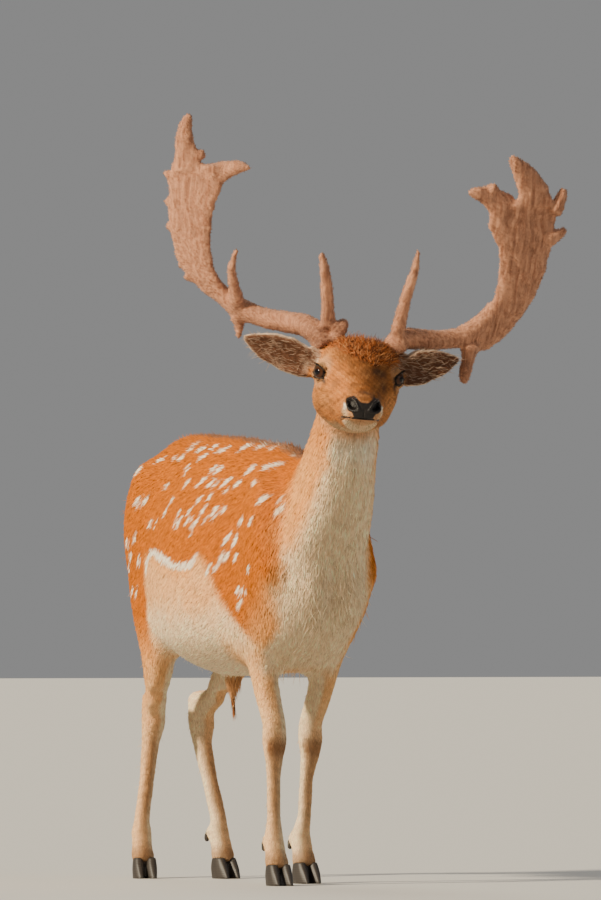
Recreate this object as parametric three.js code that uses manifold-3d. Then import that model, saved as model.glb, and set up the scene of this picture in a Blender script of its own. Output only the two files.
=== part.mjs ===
// A life-size fallow deer buck in summer coat, standing still with its head turned to its right.
// Millimetres, +Z up. The deer walks towards -Y and its left side is +X. Its hooves stand on z = 0.
// Flesh is lofted through named sections, from tail to chest and from shoulder or hip down to the foot.
// The head has a frame of its own, centred between the eyes, which holds the ears, eyes and antlers.
import * as THREE from 'three';
import { LoftGeometry } from 'three/addons/geometries/LoftGeometry.js';
import { mergeVertices } from 'three/addons/utils/BufferGeometryUtils.js';
import Module from 'manifold-3d';

const wasm = await Module();
wasm.setup();

// ---- Driving dimensions ----
const withersZ = 833;
const croupZ = 857;
const bellyZ = 390;
const bellyHalfWidth = 157;
const kneeZ = 272;
const hockZ = 312;
const gap = 0.3; // between solids that touch

// Where the head's frame stands, and how it is turned: yaw to the right, nose down, left side down.
const eyesCentre = new THREE.Vector3(-41.6, -599.5, 947.5);
const headYaw = THREE.MathUtils.degToRad(-19.2);
const headPitch = THREE.MathUtils.degToRad(8.3);
const headRoll = THREE.MathUtils.degToRad(5);

const palmThickness = 19;
const hoofLength = 58;
const hoofHeight = 40;

// ---- Materials ----
const finish = (colour, roughness) => new THREE.MeshStandardMaterial({ color: colour, roughness, metalness: 0 });
const coat = finish(0xb9733c, 0.85);
const paleCoat = finish(0xd9b88c, 0.85);
const velvet = finish(0xa9846a, 0.95);
const hoofHorn = finish(0x2b2420, 0.5);
const bareSkin = finish(0x2a2122, 0.45);
const wetEye = finish(0x1c100a, 0.08);
const tailHair = finish(0x2a211c, 0.9);
const tuftHair = finish(0xa2521f, 0.9);

// ---- Lofting ----
const X = new THREE.Vector3(1, 0, 0);
const forwards = new THREE.Vector3(0, -1, 0);

// A ring of points round a centre: an egg shape, wide each way along side, reaching up one way
// and down the other. square 2 is an ellipse and more is boxier. narrow draws the upper half in.
function ring(centre, side, rise, size, around, scale = 1, grow = 0) {
  const power = 2 / size.square;
  return Array.from({ length: around }, (_, i) => {
    const angle = (i / around) * Math.PI * 2;
    const c = Math.cos(angle);
    const s = Math.sin(angle);
    const across = Math.sign(c) * Math.abs(c) ** power * (1 - size.narrow * s);
    const upward = Math.sign(s) * Math.abs(s) ** power;
    const reach = upward > 0 ? size.up : size.down;
    return centre.clone()
      .addScaledVector(side, across * (size.wide * scale + grow))
      .addScaledVector(rise, upward * (reach * scale + grow));
  });
}

// A closed body through sections { at, wide, up, down, narrow, square }, whose rings stand square to
// the line through their centres, or to facing. domeStart and domeEnd round off its ends by that depth.
const fullDome = [72, 38].map(THREE.MathUtils.degToRad);
const smallDome = [THREE.MathUtils.degToRad(55)];
function loft(sections, options = {}) {
  const { sideways = X, facing = null, around = 12, steps = 2, grow = 0 } = options;
  const { domeStart = 0, domeEnd = 0, dome = smallDome } = options;
  const path = new THREE.CatmullRomCurve3(sections.map((s) => new THREE.Vector3(...s.at)), false, 'catmullrom');
  const spread = new THREE.CatmullRomCurve3(
    sections.map((s) => new THREE.Vector3(s.wide, s.up, s.down ?? s.up)), false, 'catmullrom');
  const shape = new THREE.CatmullRomCurve3(
    sections.map((s) => new THREE.Vector3(s.narrow ?? 0, s.square ?? 2, 0)), false, 'catmullrom');
  const count = (sections.length - 1) * steps;
  const rings = [];
  const addRing = (t, scale, shift) => {
    const tangent = facing ?? path.getTangent(t);
    const side = sideways.clone().addScaledVector(tangent, -sideways.dot(tangent)).normalize();
    const rise = new THREE.Vector3().crossVectors(tangent, side);
    const width = spread.getPoint(t);
    const form = shape.getPoint(t);
    const size = { wide: width.x, up: width.y, down: width.z, narrow: form.x, square: form.y };
    rings.push(ring(path.getPoint(t).addScaledVector(tangent, shift), side, rise, size, around, scale, grow));
  };
  if (domeStart) dome.forEach((a) => addRing(0, Math.cos(a), -(domeStart + grow) * Math.sin(a)));
  for (let i = 0; i <= count; i++) addRing(i / count, 1, 0);
  if (domeEnd) dome.toReversed().forEach((a) => addRing(1, Math.cos(a), (domeEnd + grow) * Math.sin(a)));
  return new LoftGeometry(rings, { capStart: true, capEnd: true });
}

// ---- Solids ----
// A closed geometry as a manifold solid, moved by a matrix.
function solid(geometry, matrix = new THREE.Matrix4()) {
  const bare = new THREE.BufferGeometry().copy(geometry).applyMatrix4(matrix);
  bare.deleteAttribute('normal');
  bare.deleteAttribute('uv');
  const merged = mergeVertices(bare, 1e-3);
  return new wasm.Manifold(new wasm.Mesh({
    numProp: 3,
    vertProperties: merged.attributes.position.array,
    triVerts: new Uint32Array(merged.index.array),
  }));
}

// The largest body of a cut, without the slivers beside it.
const largest = (cut) => cut.decompose().reduce((a, b) => (a.volume() > b.volume() ? a : b));

// A named mesh from a manifold solid.
function piece(name, made, material) {
  const body = largest(made).getMesh();
  const geometry = new THREE.BufferGeometry();
  geometry.setAttribute('position', new THREE.BufferAttribute(body.vertProperties, 3));
  geometry.setIndex(new THREE.BufferAttribute(body.triVerts, 1));
  geometry.computeVertexNormals();
  const mesh = new THREE.Mesh(geometry, material);
  mesh.name = name;
  return mesh;
}

const deer = new THREE.Group();
const head = new THREE.Group();
head.position.copy(eyesCentre);
head.rotation.set(headPitch, headRoll, headYaw, 'ZXY');
head.updateMatrixWorld(true);
deer.add(head);

// ---- Trunk: the barrel of the body, from the tail root to the point of the chest ----
// Each section: place along the body, back line, belly line, half width.
function barrelSection(y, top, bottom, wide, narrow, square = 2.15) {
  const widest = bottom + (top - bottom) * 0.45;
  return { at: [0, y, widest], wide, up: top - widest, down: widest - bottom, narrow, square };
}
const trunkSections = [
  barrelSection(398, 792, 640, 58, 0.1), // tail root
  barrelSection(350, 828, 560, 96, 0.22), // pin bones
  barrelSection(270, croupZ, 458, 116, 0.2), // croup
  barrelSection(175, croupZ - 2, 414, 130, 0.2), // loin and flank
  barrelSection(80, croupZ - 8, bellyZ + 5, bellyHalfWidth - 6, 0.24), // last ribs
  barrelSection(-20, 845, bellyZ, bellyHalfWidth, 0.28), // widest of the belly
  barrelSection(-115, 834, bellyZ + 5, 144, 0.34), // girth
  barrelSection(-205, withersZ, 402, 120, 0.42), // withers
  barrelSection(-285, 796, 424, 104, 0.36), // behind the point of the shoulder
  barrelSection(-345, 735, 462, 88, 0.25), // chest
  barrelSection(-382, 680, 505, 66, 0.15), // point of the chest
];
const trunkShape = (grow) => solid(loft(trunkSections, {
  facing: forwards, around: 18, grow, domeStart: 26, domeEnd: 20, dome: fullDome,
}));
const trunk = trunkShape(0);
const trunkRoom = trunkShape(gap);
deer.add(piece('trunk', trunk, coat));

// ---- Head: from the back of the skull to the nose, in the head's own frame ----
// Each section: place along the head, profile line, jaw line, half width.
function headSection(y, top, bottom, wide, narrow, square = 2.2) {
  const widest = bottom + (top - bottom) * 0.56;
  return { at: [0, y, widest], wide, up: top - widest, down: widest - bottom, narrow, square };
}
const headSections = [
  headSection(92, 34, -60, 48, 0.05), // back of the skull
  headSection(60, 60, -92, 70, 0.0), // poll, between the antlers
  headSection(28, 66, -99, 77, 0.0), // forehead and cheek
  headSection(-4, 50, -95, 75, 0.05), // eyes
  headSection(-38, 28, -88, 59, 0.12), // below the eyes
  headSection(-76, 6, -84, 46, 0.16), // bridge of the nose
  headSection(-112, -12, -82, 38, 0.12), // muzzle
  headSection(-142, -20, -78, 36, 0.04), // nostrils
];
const eyeRadius = 17;
const eyeOut = 66;
const eyeBack = 4;
const headShape = (grow) => loft(headSections, {
  facing: forwards, around: 16, grow, domeStart: 18, domeEnd: 17, dome: fullDome,
});

// Box between two corners, as a solid.
function block(low, high) {
  const size = high.map((v, i) => v - low[i]);
  const centre = high.map((v, i) => (v + low[i]) / 2);
  return solid(new THREE.BoxGeometry(...size).translate(...centre));
}

const nosePadBack = -146;
const nosePadLow = -56;
const mouthZ = -62;
const mouthCorner = -92;
const eyeball = (sign, radius) =>
  solid(new THREE.SphereGeometry(radius, 12, 8).translate(sign * eyeOut, eyeBack, 0));
const skull = solid(headShape(0));
const nosePad = skull.intersect(block([-28, -200, nosePadLow], [28, nosePadBack, 20]));
let headFlesh = skull
  .subtract(block([-28 - gap, -200, nosePadLow - gap], [28 + gap, nosePadBack + gap, 20]))
  .subtract(block([-60, -200, mouthZ - 0.6], [60, mouthCorner, mouthZ + 0.6]));
for (const sign of [-1, 1]) headFlesh = headFlesh.subtract(eyeball(sign, eyeRadius + gap));
head.add(piece('nose_pad', nosePad, bareSkin));
head.add(piece('eye_right', eyeball(-1, eyeRadius), wetEye));
head.add(piece('eye_left', eyeball(1, eyeRadius), wetEye));

// ---- Ears: a leaf drawn out from the side of the head and hollowed from the front ----
// root and tip are in the head's frame; across is the direction of the ear's width.
const earSections = [ // share of the length, half width, depth of the back
  [0.0, 16, 15], [0.22, 28, 19], [0.46, 34, 19], [0.7, 28, 14], [0.88, 16, 8], [1.0, 6, 4],
];
const earWall = 3.2;
function ear(name, root, tip, across) {
  const from = new THREE.Vector3(...root);
  const along = new THREE.Vector3(...tip).sub(from);
  const leaf = (inset, forward) => loft(earSections.map(([share, wide, deep]) => ({
    at: from.clone().addScaledVector(along, share).add(new THREE.Vector3(0, -forward * deep, 0)).toArray(),
    wide: Math.max(wide - inset, 1.2),
    up: Math.max(deep - inset, 1),
  })), { sideways: new THREE.Vector3(...across), around: 9, steps: 1, domeEnd: 3 });
  const cup = solid(leaf(0, 0)).subtract(solid(leaf(earWall, 0.75)));
  return { name, cup };
}
const ears = [
  ear('ear_right', [-66, 50, -1], [-208, 68, 44], [-0.25, 0, 1]),
  ear('ear_left', [62, 50, 0], [184, 74, 38], [0.2, 0, 1]),
];

// ---- Antlers in velvet: beam, brow tine, trez tine, hanging tine and palm, in the head's frame ----
// A round tine through points with a radius each: [x, y, z, radius].
const roundStem = (points, options = {}) => loft(
  points.map(([x, y, z, r]) => ({ at: [x, y, z], wide: r, up: r })),
  { around: 7, steps: 1, domeEnd: points.at(-1)[3], ...options });

// The palm is a flat blade: each row runs from its front edge to its back edge, in the head's frame.
function palmBlade(rows, thickness) {
  const ends = rows.map((row) => row.map((point) => new THREE.Vector3(...point)));
  const sections = ends.map(([front, back]) => {
    const half = front.distanceTo(back) / 2;
    const at = front.clone().add(back).multiplyScalar(0.5).toArray();
    return { at, wide: half, up: Math.min(thickness / 2, half * 0.75), square: 2.3 };
  });
  const [front, back] = ends[Math.floor(rows.length / 2)];
  const across = back.clone().sub(front).setZ(0).normalize();
  return loft(sections, { sideways: across, around: 8, steps: 1, domeStart: thickness / 3, domeEnd: thickness / 3 });
}

// A tine or lobe flattened in the plane of the palm: [x, y, z, half width].
const flatStem = (points, across, thickness) => loft(
  points.map(([x, y, z, half]) => ({ at: [x, y, z], wide: half, up: Math.min(half, thickness / 2) })),
  { sideways: across, around: 7, steps: 1, domeEnd: points.at(-1)[3] });

// A snag: a short point on the edge of the palm, from its root to its tip.
const snag = (points) => roundStem(points, { around: 4, domeEnd: 0 });

const antlers = {
  right: {
    beam: [[-62, 55, 44, 21], [-78, 63, 66, 22], [-101, 78, 76, 19.5], [-128, 98, 76, 19], [-164, 116, 77, 18.5],
      [-201, 130, 84, 18.5], [-228, 138, 94, 18], [-252, 146, 110, 16], [-268, 148, 126, 13]],
    brow: [[-62, 50, 84, 13.5], [-69, 30, 131, 11.4], [-78, 10, 174, 10], [-88, -4, 208, 7.4], [-92, -8, 219, 4.5]],
    trez: [[-226, 128, 96, 15], [-238, 108, 137, 9.9], [-247, 94, 166, 7.7], [-242, 78, 203, 4.2]],
    hanging: [[-223, 138, 76, 15], [-217, 139, 55, 8], [-217, 140, 37, 5]],
    palm: [
      [[-250, 140, 124], [-262, 146, 96]], [[-262, 140, 142], [-290, 152, 112]],
      [[-275, 140, 166], [-320, 162, 134]], [[-282, 140, 195], [-347, 170, 173]],
      [[-286, 140, 230], [-361, 176, 216]], [[-285, 140, 260], [-368, 178, 251]],
      [[-280, 139, 287], [-372, 178, 286]], [[-270, 138, 311], [-376, 176, 318]],
      [[-282, 142, 332], [-373, 172, 350]],
    ],
    topTine: [[-340, 160, 335, 32], [-346, 162, 368, 23], [-352, 160, 394, 18], [-352, 156, 420, 12.5], [-348, 153, 434, 8]],
    lobe: [[-302, 150, 326, 28], [-281, 147, 338, 22], [-260, 140, 348, 16], [-241, 132, 354, 10], [-232, 127, 353, 6]],
    snags: [[[-318, 156, 360, 12], [-318, 156, 377, 7]], [[-366, 176, 320, 11], [-379, 190, 325, 6]],
      [[-361, 178, 270, 11], [-374, 190, 273, 6]], [[-353, 176, 226, 11], [-366, 188, 227, 6]],
      [[-327, 170, 159, 11], [-338, 178, 158, 6]], [[-313, 162, 137, 11], [-325, 170, 135, 6]]],
  },
  left: {
    beam: [[58, 55, 44, 21], [72, 62, 64, 22], [92, 78, 69, 19.5], [122, 98, 67, 18], [157, 116, 67, 17.5],
      [192, 130, 73, 17.5], [217, 139, 88, 17.5], [240, 147, 110, 16], [256, 150, 136, 12]],
    brow: [[68, 52, 80, 13.5], [71, 34, 121, 11.4], [76, 18, 161, 10], [83, 4, 198, 8.1], [85, -8, 240, 4.5]],
    hanging: [[214, 130, 62, 18], [213, 134, 32, 11.6], [210, 136, 9, 11.6], [210, 137, -6, 8]],
    palm: [
      [[201, 130, 76], [212, 138, 45]], [[222, 134, 92], [250, 152, 54]], [[239, 140, 113], [282, 162, 82]],
      [[250, 144, 142], [309, 170, 118]], [[254, 146, 177], [331, 176, 156]], [[254, 146, 219], [344, 180, 197]],
      [[250, 146, 248], [352, 184, 235]], [[238, 144, 276], [357, 186, 261]], [[222, 142, 299], [360, 188, 289]],
      [[226, 144, 323], [357, 188, 320]],
    ],
    topTine: [[309, 166, 326, 44], [307, 166, 354, 33], [291, 162, 377, 26], [274, 156, 397, 17.5], [261, 152, 410, 9.5]],
    lobe: [[261, 156, 316, 32], [236, 150, 331, 26], [214, 144, 341, 18], [196, 137, 344, 11], [187, 134, 344, 6]],
    snags: [[[230, 148, 350, 14], [226, 147, 364, 7]], [[350, 180, 316, 17], [362, 186, 344, 12], [366, 188, 362, 9]],
      [[346, 182, 264, 15], [366, 190, 277, 11], [377, 194, 286, 7.5]], [[336, 176, 208, 11], [345, 180, 208, 5.5]]],
  },
};
// The widths of the palm, its top tine and its front lobe lie along these.
const palmAcross = { right: new THREE.Vector3(-0.93, 0.36, 0), left: new THREE.Vector3(0.93, 0.36, 0) };
const lobeAcross = { right: new THREE.Vector3(0.3, 0.2, 0.93), left: new THREE.Vector3(-0.2, 0.2, 0.96) };

function antler(side, plan) {
  const beamStem = (grow) => solid(roundStem(plan.beam, { grow, around: 9 }));
  const beam = beamStem(0);
  const beamRoom = beamStem(gap);
  const palm = [
    palmBlade(plan.palm, palmThickness),
    flatStem(plan.topTine, palmAcross[side], palmThickness),
    flatStem(plan.lobe, lobeAcross[side], palmThickness),
    ...plan.snags.map(snag),
  ].map((part) => solid(part)).reduce((a, b) => a.add(b)).subtract(beamRoom);
  const palmRoom = solid(palmBlade(plan.palm, palmThickness + 2 * gap));
  const tine = (points) => solid(roundStem(points)).subtract(beamRoom).subtract(palmRoom);
  head.add(
    piece(`antler_${side}_beam`, beam, velvet),
    piece(`antler_${side}_palm`, palm, velvet),
    piece(`antler_${side}_brow_tine`, tine(plan.brow), velvet),
    piece(`antler_${side}_hanging_tine`, tine(plan.hanging), velvet),
  );
  if (plan.trez) head.add(piece(`antler_${side}_trez_tine`, tine(plan.trez), velvet));
  return beamRoom;
}
const antlerRooms = Object.entries(antlers).map(([side, plan]) => antler(side, plan));

for (const room of antlerRooms) headFlesh = headFlesh.subtract(room);
for (const { name, cup } of ears) {
  let outer = cup.subtract(solid(headShape(gap)));
  for (const room of antlerRooms) outer = outer.subtract(room);
  head.add(piece(name, outer, coat));
}
head.add(piece('head', headFlesh, coat));
const headRoom = solid(headShape(gap), head.matrixWorld);

// ---- Neck: upright, from inside the chest to the back of the skull ----
const neckSections = [
  { at: [0, -318, 628], wide: 90, up: 176, down: 88, narrow: 0.25 }, // base, withers to breast
  { at: [0, -390, 735], wide: 71, up: 138, down: 90, narrow: 0.34 }, // above the chest
  { at: [-1, -438, 832], wide: 60, up: 90, down: 80, narrow: 0.28 }, // middle
  { at: [-6, -480, 900], wide: 57, up: 70, down: 72, narrow: 0.18 }, // upper
  { at: [-12, -514, 960], wide: 56, up: 60, down: 62, narrow: 0.1 }, // behind the skull
];
const neck = solid(loft(neckSections, { around: 12 })).subtract(trunkRoom).subtract(headRoom);
deer.add(piece('neck', neck, coat));
const neckRoom = solid(loft(neckSections, { around: 12, grow: gap }));

// ---- Tail: long for a deer, hanging close against the buttocks ----
const tailSections = [
  { at: [0, 392, 786], wide: 17, up: 12 },
  { at: [0, 420, 768], wide: 19, up: 13 },
  { at: [0, 434, 722], wide: 20, up: 13 },
  { at: [0, 433, 668], wide: 17, up: 11 },
  { at: [0, 425, 615], wide: 10, up: 8 },
];
const tail = solid(loft(tailSections, { around: 10, steps: 1, domeEnd: 12 })).subtract(trunkRoom);
deer.add(piece('tail', tail, tailHair));

// ---- Legs ----
// A section of a leg: centre, half width across, reach forwards and backwards.
const limb = (x, y, z, wide, fore, aft, square = 2) => ({ at: [x, y, z], wide, up: fore, down: aft, square });

// The foreleg's own stance: how each level stands off the deer's midline and along the body.
const forelegs = {
  right: { side: -1, toeOut: 4, knee: [62, -259], shin: [60.5, -253], fetlock: [60, -255], foot: [60, -256] },
  left: { side: 1, toeOut: 4, knee: [58, -155], shin: [54, -149], fetlock: [51, -131], foot: [50, -134] },
};
const elbow = [66, -213];

function foreleg(plan) {
  const s = plan.side;
  const [kx, ky] = plan.knee;
  const [sx, sy] = plan.shin;
  const [fx, fy] = plan.fetlock;
  const [ex, ey] = elbow;
  const midForearm = [(ex + kx) / 2, (ey + ky) / 2];
  const upper = [
    limb(s * 58, -208, 768, 26, 46, 52), // top of the shoulder blade
    limb(s * 78, -250, 690, 36, 66, 80), // shoulder blade
    limb(s * 86, -280, 600, 43, 76, 96), // point of the shoulder
    limb(s * 79, -258, 520, 40, 64, 82), // upper arm
    limb(s * 71, -226, 458, 34, 44, 56), // elbow
    limb(s * ex, ey, 420, 30, 33, 36),
    limb(s * midForearm[0], midForearm[1], 352, 23.5, 25, 25), // forearm
    limb(s * kx, ky, kneeZ + 32, 22, 23, 21),
  ];
  const lower = [
    limb(s * kx, ky, kneeZ + 32, 22, 23, 21),
    limb(s * kx, ky, kneeZ, 24, 24, 20, 2.3), // knee
    limb(s * kx, ky, kneeZ - 30, 18.5, 18, 19),
    limb(s * sx, sy, 205, 13.2, 14, 16), // cannon
    limb(s * sx, (sy + fy) / 2, 130, 12.8, 13.5, 16),
    limb(s * fx, fy, 96, 17, 16.5, 20),
    limb(s * fx, fy, 78, 20, 18, 24), // fetlock
    limb(s * fx, fy - 8, 56, 20, 18, 21), // pastern
    limb(s * fx, fy - 14, hoofHeight - 2, 22, 22, 24), // coronet
  ];
  return { upper, lower, foot: [fx * s, fy - 20], toeOut: plan.toeOut * s };
}

const hindLegs = {
  right: {
    side: -1, toeOut: 16,
    stifle: [80, 256], gaskin: [82, 246], aboveHock: [66, 292], hock: [52, 338], shank: [56, 345], cannon: [64, 343],
    fetlock: [76, 340], foot: [78, 336],
  },
  left: {
    side: 1, toeOut: 10,
    stifle: [78, 244], gaskin: [73, 226], aboveHock: [62, 291], hock: [48, 335], shank: [50, 336], cannon: [53, 308],
    fetlock: [57, 272], foot: [58, 262],
  },
};

function hindLeg(plan) {
  const s = plan.side;
  const at = (name, z, wide, fore, aft, square) => limb(s * plan[name][0], plan[name][1], z, wide, fore, aft, square);
  const upper = [
    limb(s * 60, 300, 786, 44, 74, 62), // hip
    limb(s * 72, 304, 700, 46, 100, 98), // haunch
    limb(s * 74, 294, 600, 41, 104, 96), // thigh
    at('stifle', 510, 40, 80, 84), // stifle
    at('gaskin', 430, 32, 50, 50), // gaskin
    at('aboveHock', 362, 21, 27, 32),
  ];
  const lower = [
    at('aboveHock', 362, 21, 27, 32),
    at('hock', hockZ + 18, 22.5, 28, 42, 2.2), // point of the hock
    at('hock', hockZ - 12, 22.5, 29, 34, 2.3), // hock joint
    at('shank', hockZ - 52, 17, 20, 24),
    at('cannon', 190, 14, 16.5, 19),
    at('fetlock', 112, 15, 16, 19),
    at('fetlock', 84, 20, 19, 25), // fetlock
    limb(s * plan.foot[0], plan.foot[1] - 2, 58, 20, 19, 22), // pastern
    limb(s * plan.foot[0], plan.foot[1] - 8, hoofHeight - 2, 22, 22, 25), // coronet
  ];
  return { upper, lower, foot: [plan.foot[0] * s, plan.foot[1] - 14], toeOut: plan.toeOut * s };
}

// One cleave of a hoof: a flat sole, a sloping front wall and a rounded heel, cut to its half of the foot.
function cleave(foot, toeOut, half) {
  const turn = new THREE.Matrix4().makeRotationZ(THREE.MathUtils.degToRad(toeOut));
  turn.setPosition(foot[0], foot[1], 0);
  const inward = half * 12.6;
  const level = (z, forward, wide, fore, aft) => ({ at: [inward, -forward, z], wide, up: fore, down: aft, square: 2.3 });
  const wall = loft([
    level(0, 6, 11.2, 31, 27),
    level(hoofHeight * 0.45, 2, 11.6, 26, 26),
    level(hoofHeight, -3, 11, 18, 22),
  ].reverse(), { facing: new THREE.Vector3(0, 0, -1), around: 10, steps: 1 });
  return solid(wall, turn);
}

// A dewclaw: a small blunt cone behind the fetlock.
function dewclaw(foot, toeOut, half, y, z) {
  const turn = new THREE.Matrix4().makeRotationZ(THREE.MathUtils.degToRad(toeOut));
  turn.setPosition(foot[0], y, z);
  return solid(loft([
    { at: [half * 9, 18, 12], wide: 6, up: 6 },
    { at: [half * 11, 25, -2], wide: 7, up: 6.5 },
    { at: [half * 11.5, 27, -14], wide: 5, up: 4.5 },
  ], { around: 5, steps: 1 }), turn);
}

function addLeg(label, { upper, lower, foot, toeOut }, around, kneeLevel) {
  const angle = THREE.MathUtils.degToRad(toeOut);
  const sideways = new THREE.Vector3(Math.cos(angle), Math.sin(angle), 0);
  const upperSolid = solid(loft(upper, { around, domeStart: 26 }));
  let lowerSolid = solid(loft(lower, { sideways, around: 10, steps: 1 }));
  const cut = block([-400, -900, kneeLevel - gap], [400, 900, 1200]);
  let thigh = upperSolid.subtract(trunkRoom).subtract(neckRoom)
    .subtract(block([-400, -900, -10], [400, 900, kneeLevel]));
  lowerSolid = lowerSolid.subtract(cut);
  const claws = [];
  const [fetlockX, fetlockY] = lower.at(-3).at;
  for (const [word, half] of [['inner', -Math.sign(foot[0])], ['outer', Math.sign(foot[0])]]) {
    const hoof = cleave(foot, toeOut, half);
    const claw = dewclaw([fetlockX, fetlockY], toeOut, half, fetlockY, lower.at(-3).at[2]);
    claws.push([`hoof_${label}_${word}`, hoof], [`dewclaw_${label}_${word}`, claw]);
  }
  lowerSolid = lowerSolid.subtract(block([-400, -900, -10], [400, 900, hoofHeight + gap]));
  for (const [name, claw] of claws) {
    const body = name.startsWith('dewclaw') ? claw.subtract(solid(loft(lower, { sideways, around: 10, steps: 1, grow: gap }))) : claw;
    deer.add(piece(name, body, hoofHorn));
  }
  deer.add(piece(`${label}_leg_upper`, thigh, coat), piece(`${label}_leg_lower`, lowerSolid, paleCoat));
}
for (const side of ['right', 'left']) {
  addLeg(`front_${side}`, foreleg(forelegs[side]), 10, kneeZ + 32);
  addLeg(`hind_${side}`, hindLeg(hindLegs[side]), 10, 362);
}

// ---- Sheath tuft: the brush of long hair that hangs from a buck's belly ----
const tuftY = 78;
const tuft = solid(loft([
  { at: [0, tuftY + 4, bellyZ + 10], wide: 16, up: 22 },
  { at: [0, tuftY, bellyZ - 12], wide: 12, up: 13 },
  { at: [0, tuftY - 4, bellyZ - 44], wide: 6, up: 6 },
  { at: [0, tuftY - 6, bellyZ - 66], wide: 2.5, up: 2.5 },
], { around: 8, steps: 1, domeEnd: 3 })).subtract(trunkRoom);
deer.add(piece('sheath_tuft', tuft, tuftHair));

// The origin is on the floor, under the middle of the deer's bounding box.
const bounds = new THREE.Box3().setFromObject(deer, true);
const middle = bounds.getCenter(new THREE.Vector3());
deer.position.set(-middle.x, -middle.y, -bounds.min.z);

export default deer;
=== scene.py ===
"""A life-size fallow deer buck in its spotted summer coat, with its antlers still in velvet."""

import math

import bmesh
import bpy
import numpy as np
from mathutils import Matrix, Vector


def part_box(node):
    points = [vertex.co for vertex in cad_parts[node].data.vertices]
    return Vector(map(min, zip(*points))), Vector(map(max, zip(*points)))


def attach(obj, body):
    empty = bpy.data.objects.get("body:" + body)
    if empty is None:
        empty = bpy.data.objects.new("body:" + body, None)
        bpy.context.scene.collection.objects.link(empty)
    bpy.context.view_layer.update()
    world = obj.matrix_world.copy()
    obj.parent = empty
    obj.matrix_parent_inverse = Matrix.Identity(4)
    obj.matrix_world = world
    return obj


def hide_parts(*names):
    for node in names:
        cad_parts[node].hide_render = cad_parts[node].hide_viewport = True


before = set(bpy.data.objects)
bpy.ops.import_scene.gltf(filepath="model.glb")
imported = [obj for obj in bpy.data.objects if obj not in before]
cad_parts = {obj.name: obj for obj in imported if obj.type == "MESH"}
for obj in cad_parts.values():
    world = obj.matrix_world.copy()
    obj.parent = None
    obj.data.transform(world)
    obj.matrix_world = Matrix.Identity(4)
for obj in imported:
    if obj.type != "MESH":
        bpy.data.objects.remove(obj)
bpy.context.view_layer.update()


# ---- Where the deer stands ----
# The deer's own axes are in millimetres: its left is +x, it faces -y, and the ground under its
# barrel is the origin. The head has axes of its own, centred between the eyes.
EYES_CENTRE = np.array((-41.6, -599.5, 947.5))
head_turn = np.array(
    Matrix.Rotation(math.radians(-19.2), 3, "Z")
    @ Matrix.Rotation(math.radians(8.3), 3, "X")
    @ Matrix.Rotation(math.radians(5.0), 3, "Y")
)


def middle_of(node):
    low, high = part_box(node)
    return np.array((low + high) / 2)


eyes_at = (middle_of("eye_left") + middle_of("eye_right")) / 2 * 1000
trunk_low, trunk_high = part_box("trunk")
ground_origin = eyes_at - head_turn @ np.array((0, 4, 0)) - EYES_CENTRE
ground_origin[0] = (trunk_low.x + trunk_high.x) * 500
ground_origin[2] = 0


def to_deer(points):
    """Points in metres in the frame, as millimetres on the deer's own axes."""
    return np.asarray(points) * 1000 - ground_origin


def from_deer(points):
    return (np.asarray(points, float) + ground_origin) / 1000


def to_head(deer_points):
    return (deer_points - EYES_CENTRE) @ head_turn


def from_head(head_points):
    """Points on the head's axes, as metres in the frame."""
    return from_deer(np.asarray(head_points, float) @ head_turn.T + EYES_CENTRE)


def head_reach(head, centre=(0, -10, -10)):
    """How far places lie from the middle of the head, with its length and width drawn in."""
    return np.linalg.norm(head * (0.9, 0.75, 1) - centre, axis=1)


# ---- Camera ----
# A long lens, low down and far off, a little to the right of straight ahead of the deer.
VIEW_TURN = math.radians(24)
ahead = np.array((math.sin(VIEW_TURN), math.cos(VIEW_TURN), 0))
rightward = np.array((math.cos(VIEW_TURN), -math.sin(VIEW_TURN), 0))
camera_place = from_deer(-19000 * ahead + 97.85 * rightward + np.array((0, 0, 500)))
camera_data = bpy.data.cameras.new("camera")
camera_data.sensor_width = 36
camera_data.lens = 400
camera_data.clip_end = 200
camera = bpy.data.objects.new("camera", camera_data)
camera.location = Vector(camera_place)
sight = Vector(ahead + np.array((0, 0, 0.01685)))
camera.rotation_euler = sight.to_track_quat("-Z", "Y").to_euler()
bpy.context.scene.collection.objects.link(camera)
bpy.context.scene.camera = camera


# ---- Floor and studio light ----
# A plain pale floor under a pale sky. A warm key lamp stands low on the deer's right, a weak cool
# fill on its left and a lamp behind, all wide and soft.
def add_piece(name, mesh):
    piece = bpy.data.objects.new(name, mesh)
    bpy.context.scene.collection.objects.link(piece)
    return piece


def mesh_from(name, form):
    mesh = bpy.data.meshes.new(name)
    form.to_mesh(mesh)
    form.free()
    return mesh


def new_material(name):
    material = bpy.data.materials.new(name)
    material.use_nodes = True
    nodes = material.node_tree.nodes
    return material, nodes, material.node_tree.links, nodes["Principled BSDF"]


def new_node(nodes, kind, **values):
    """A shader node with its sockets set; an underscore stands for a space in a socket's name."""
    node = nodes.new("ShaderNode" + kind)
    for socket, value in values.items():
        node.inputs[socket.replace("_", " ")].default_value = value
    return node


def attribute_node(nodes, name):
    node = nodes.new("ShaderNodeAttribute")
    node.attribute_name = name
    return node


def wire(links, *joins):
    """Links sockets; each join is a node, its output, the next node and its input."""
    for source, output, target, socket in joins:
        links.new(source.outputs[output], target.inputs[socket])


floor_form = bmesh.new()
bmesh.ops.create_grid(floor_form, x_segments=2, y_segments=2, size=60)
floor = add_piece("floor", mesh_from("floor", floor_form))
floor_finish, _, _, floor_shader = new_material("pale_floor")
floor_shader.inputs["Base Color"].default_value = (0.62, 0.61, 0.58, 1)
floor_shader.inputs["Roughness"].default_value = 0.9
floor.data.materials.append(floor_finish)

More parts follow.
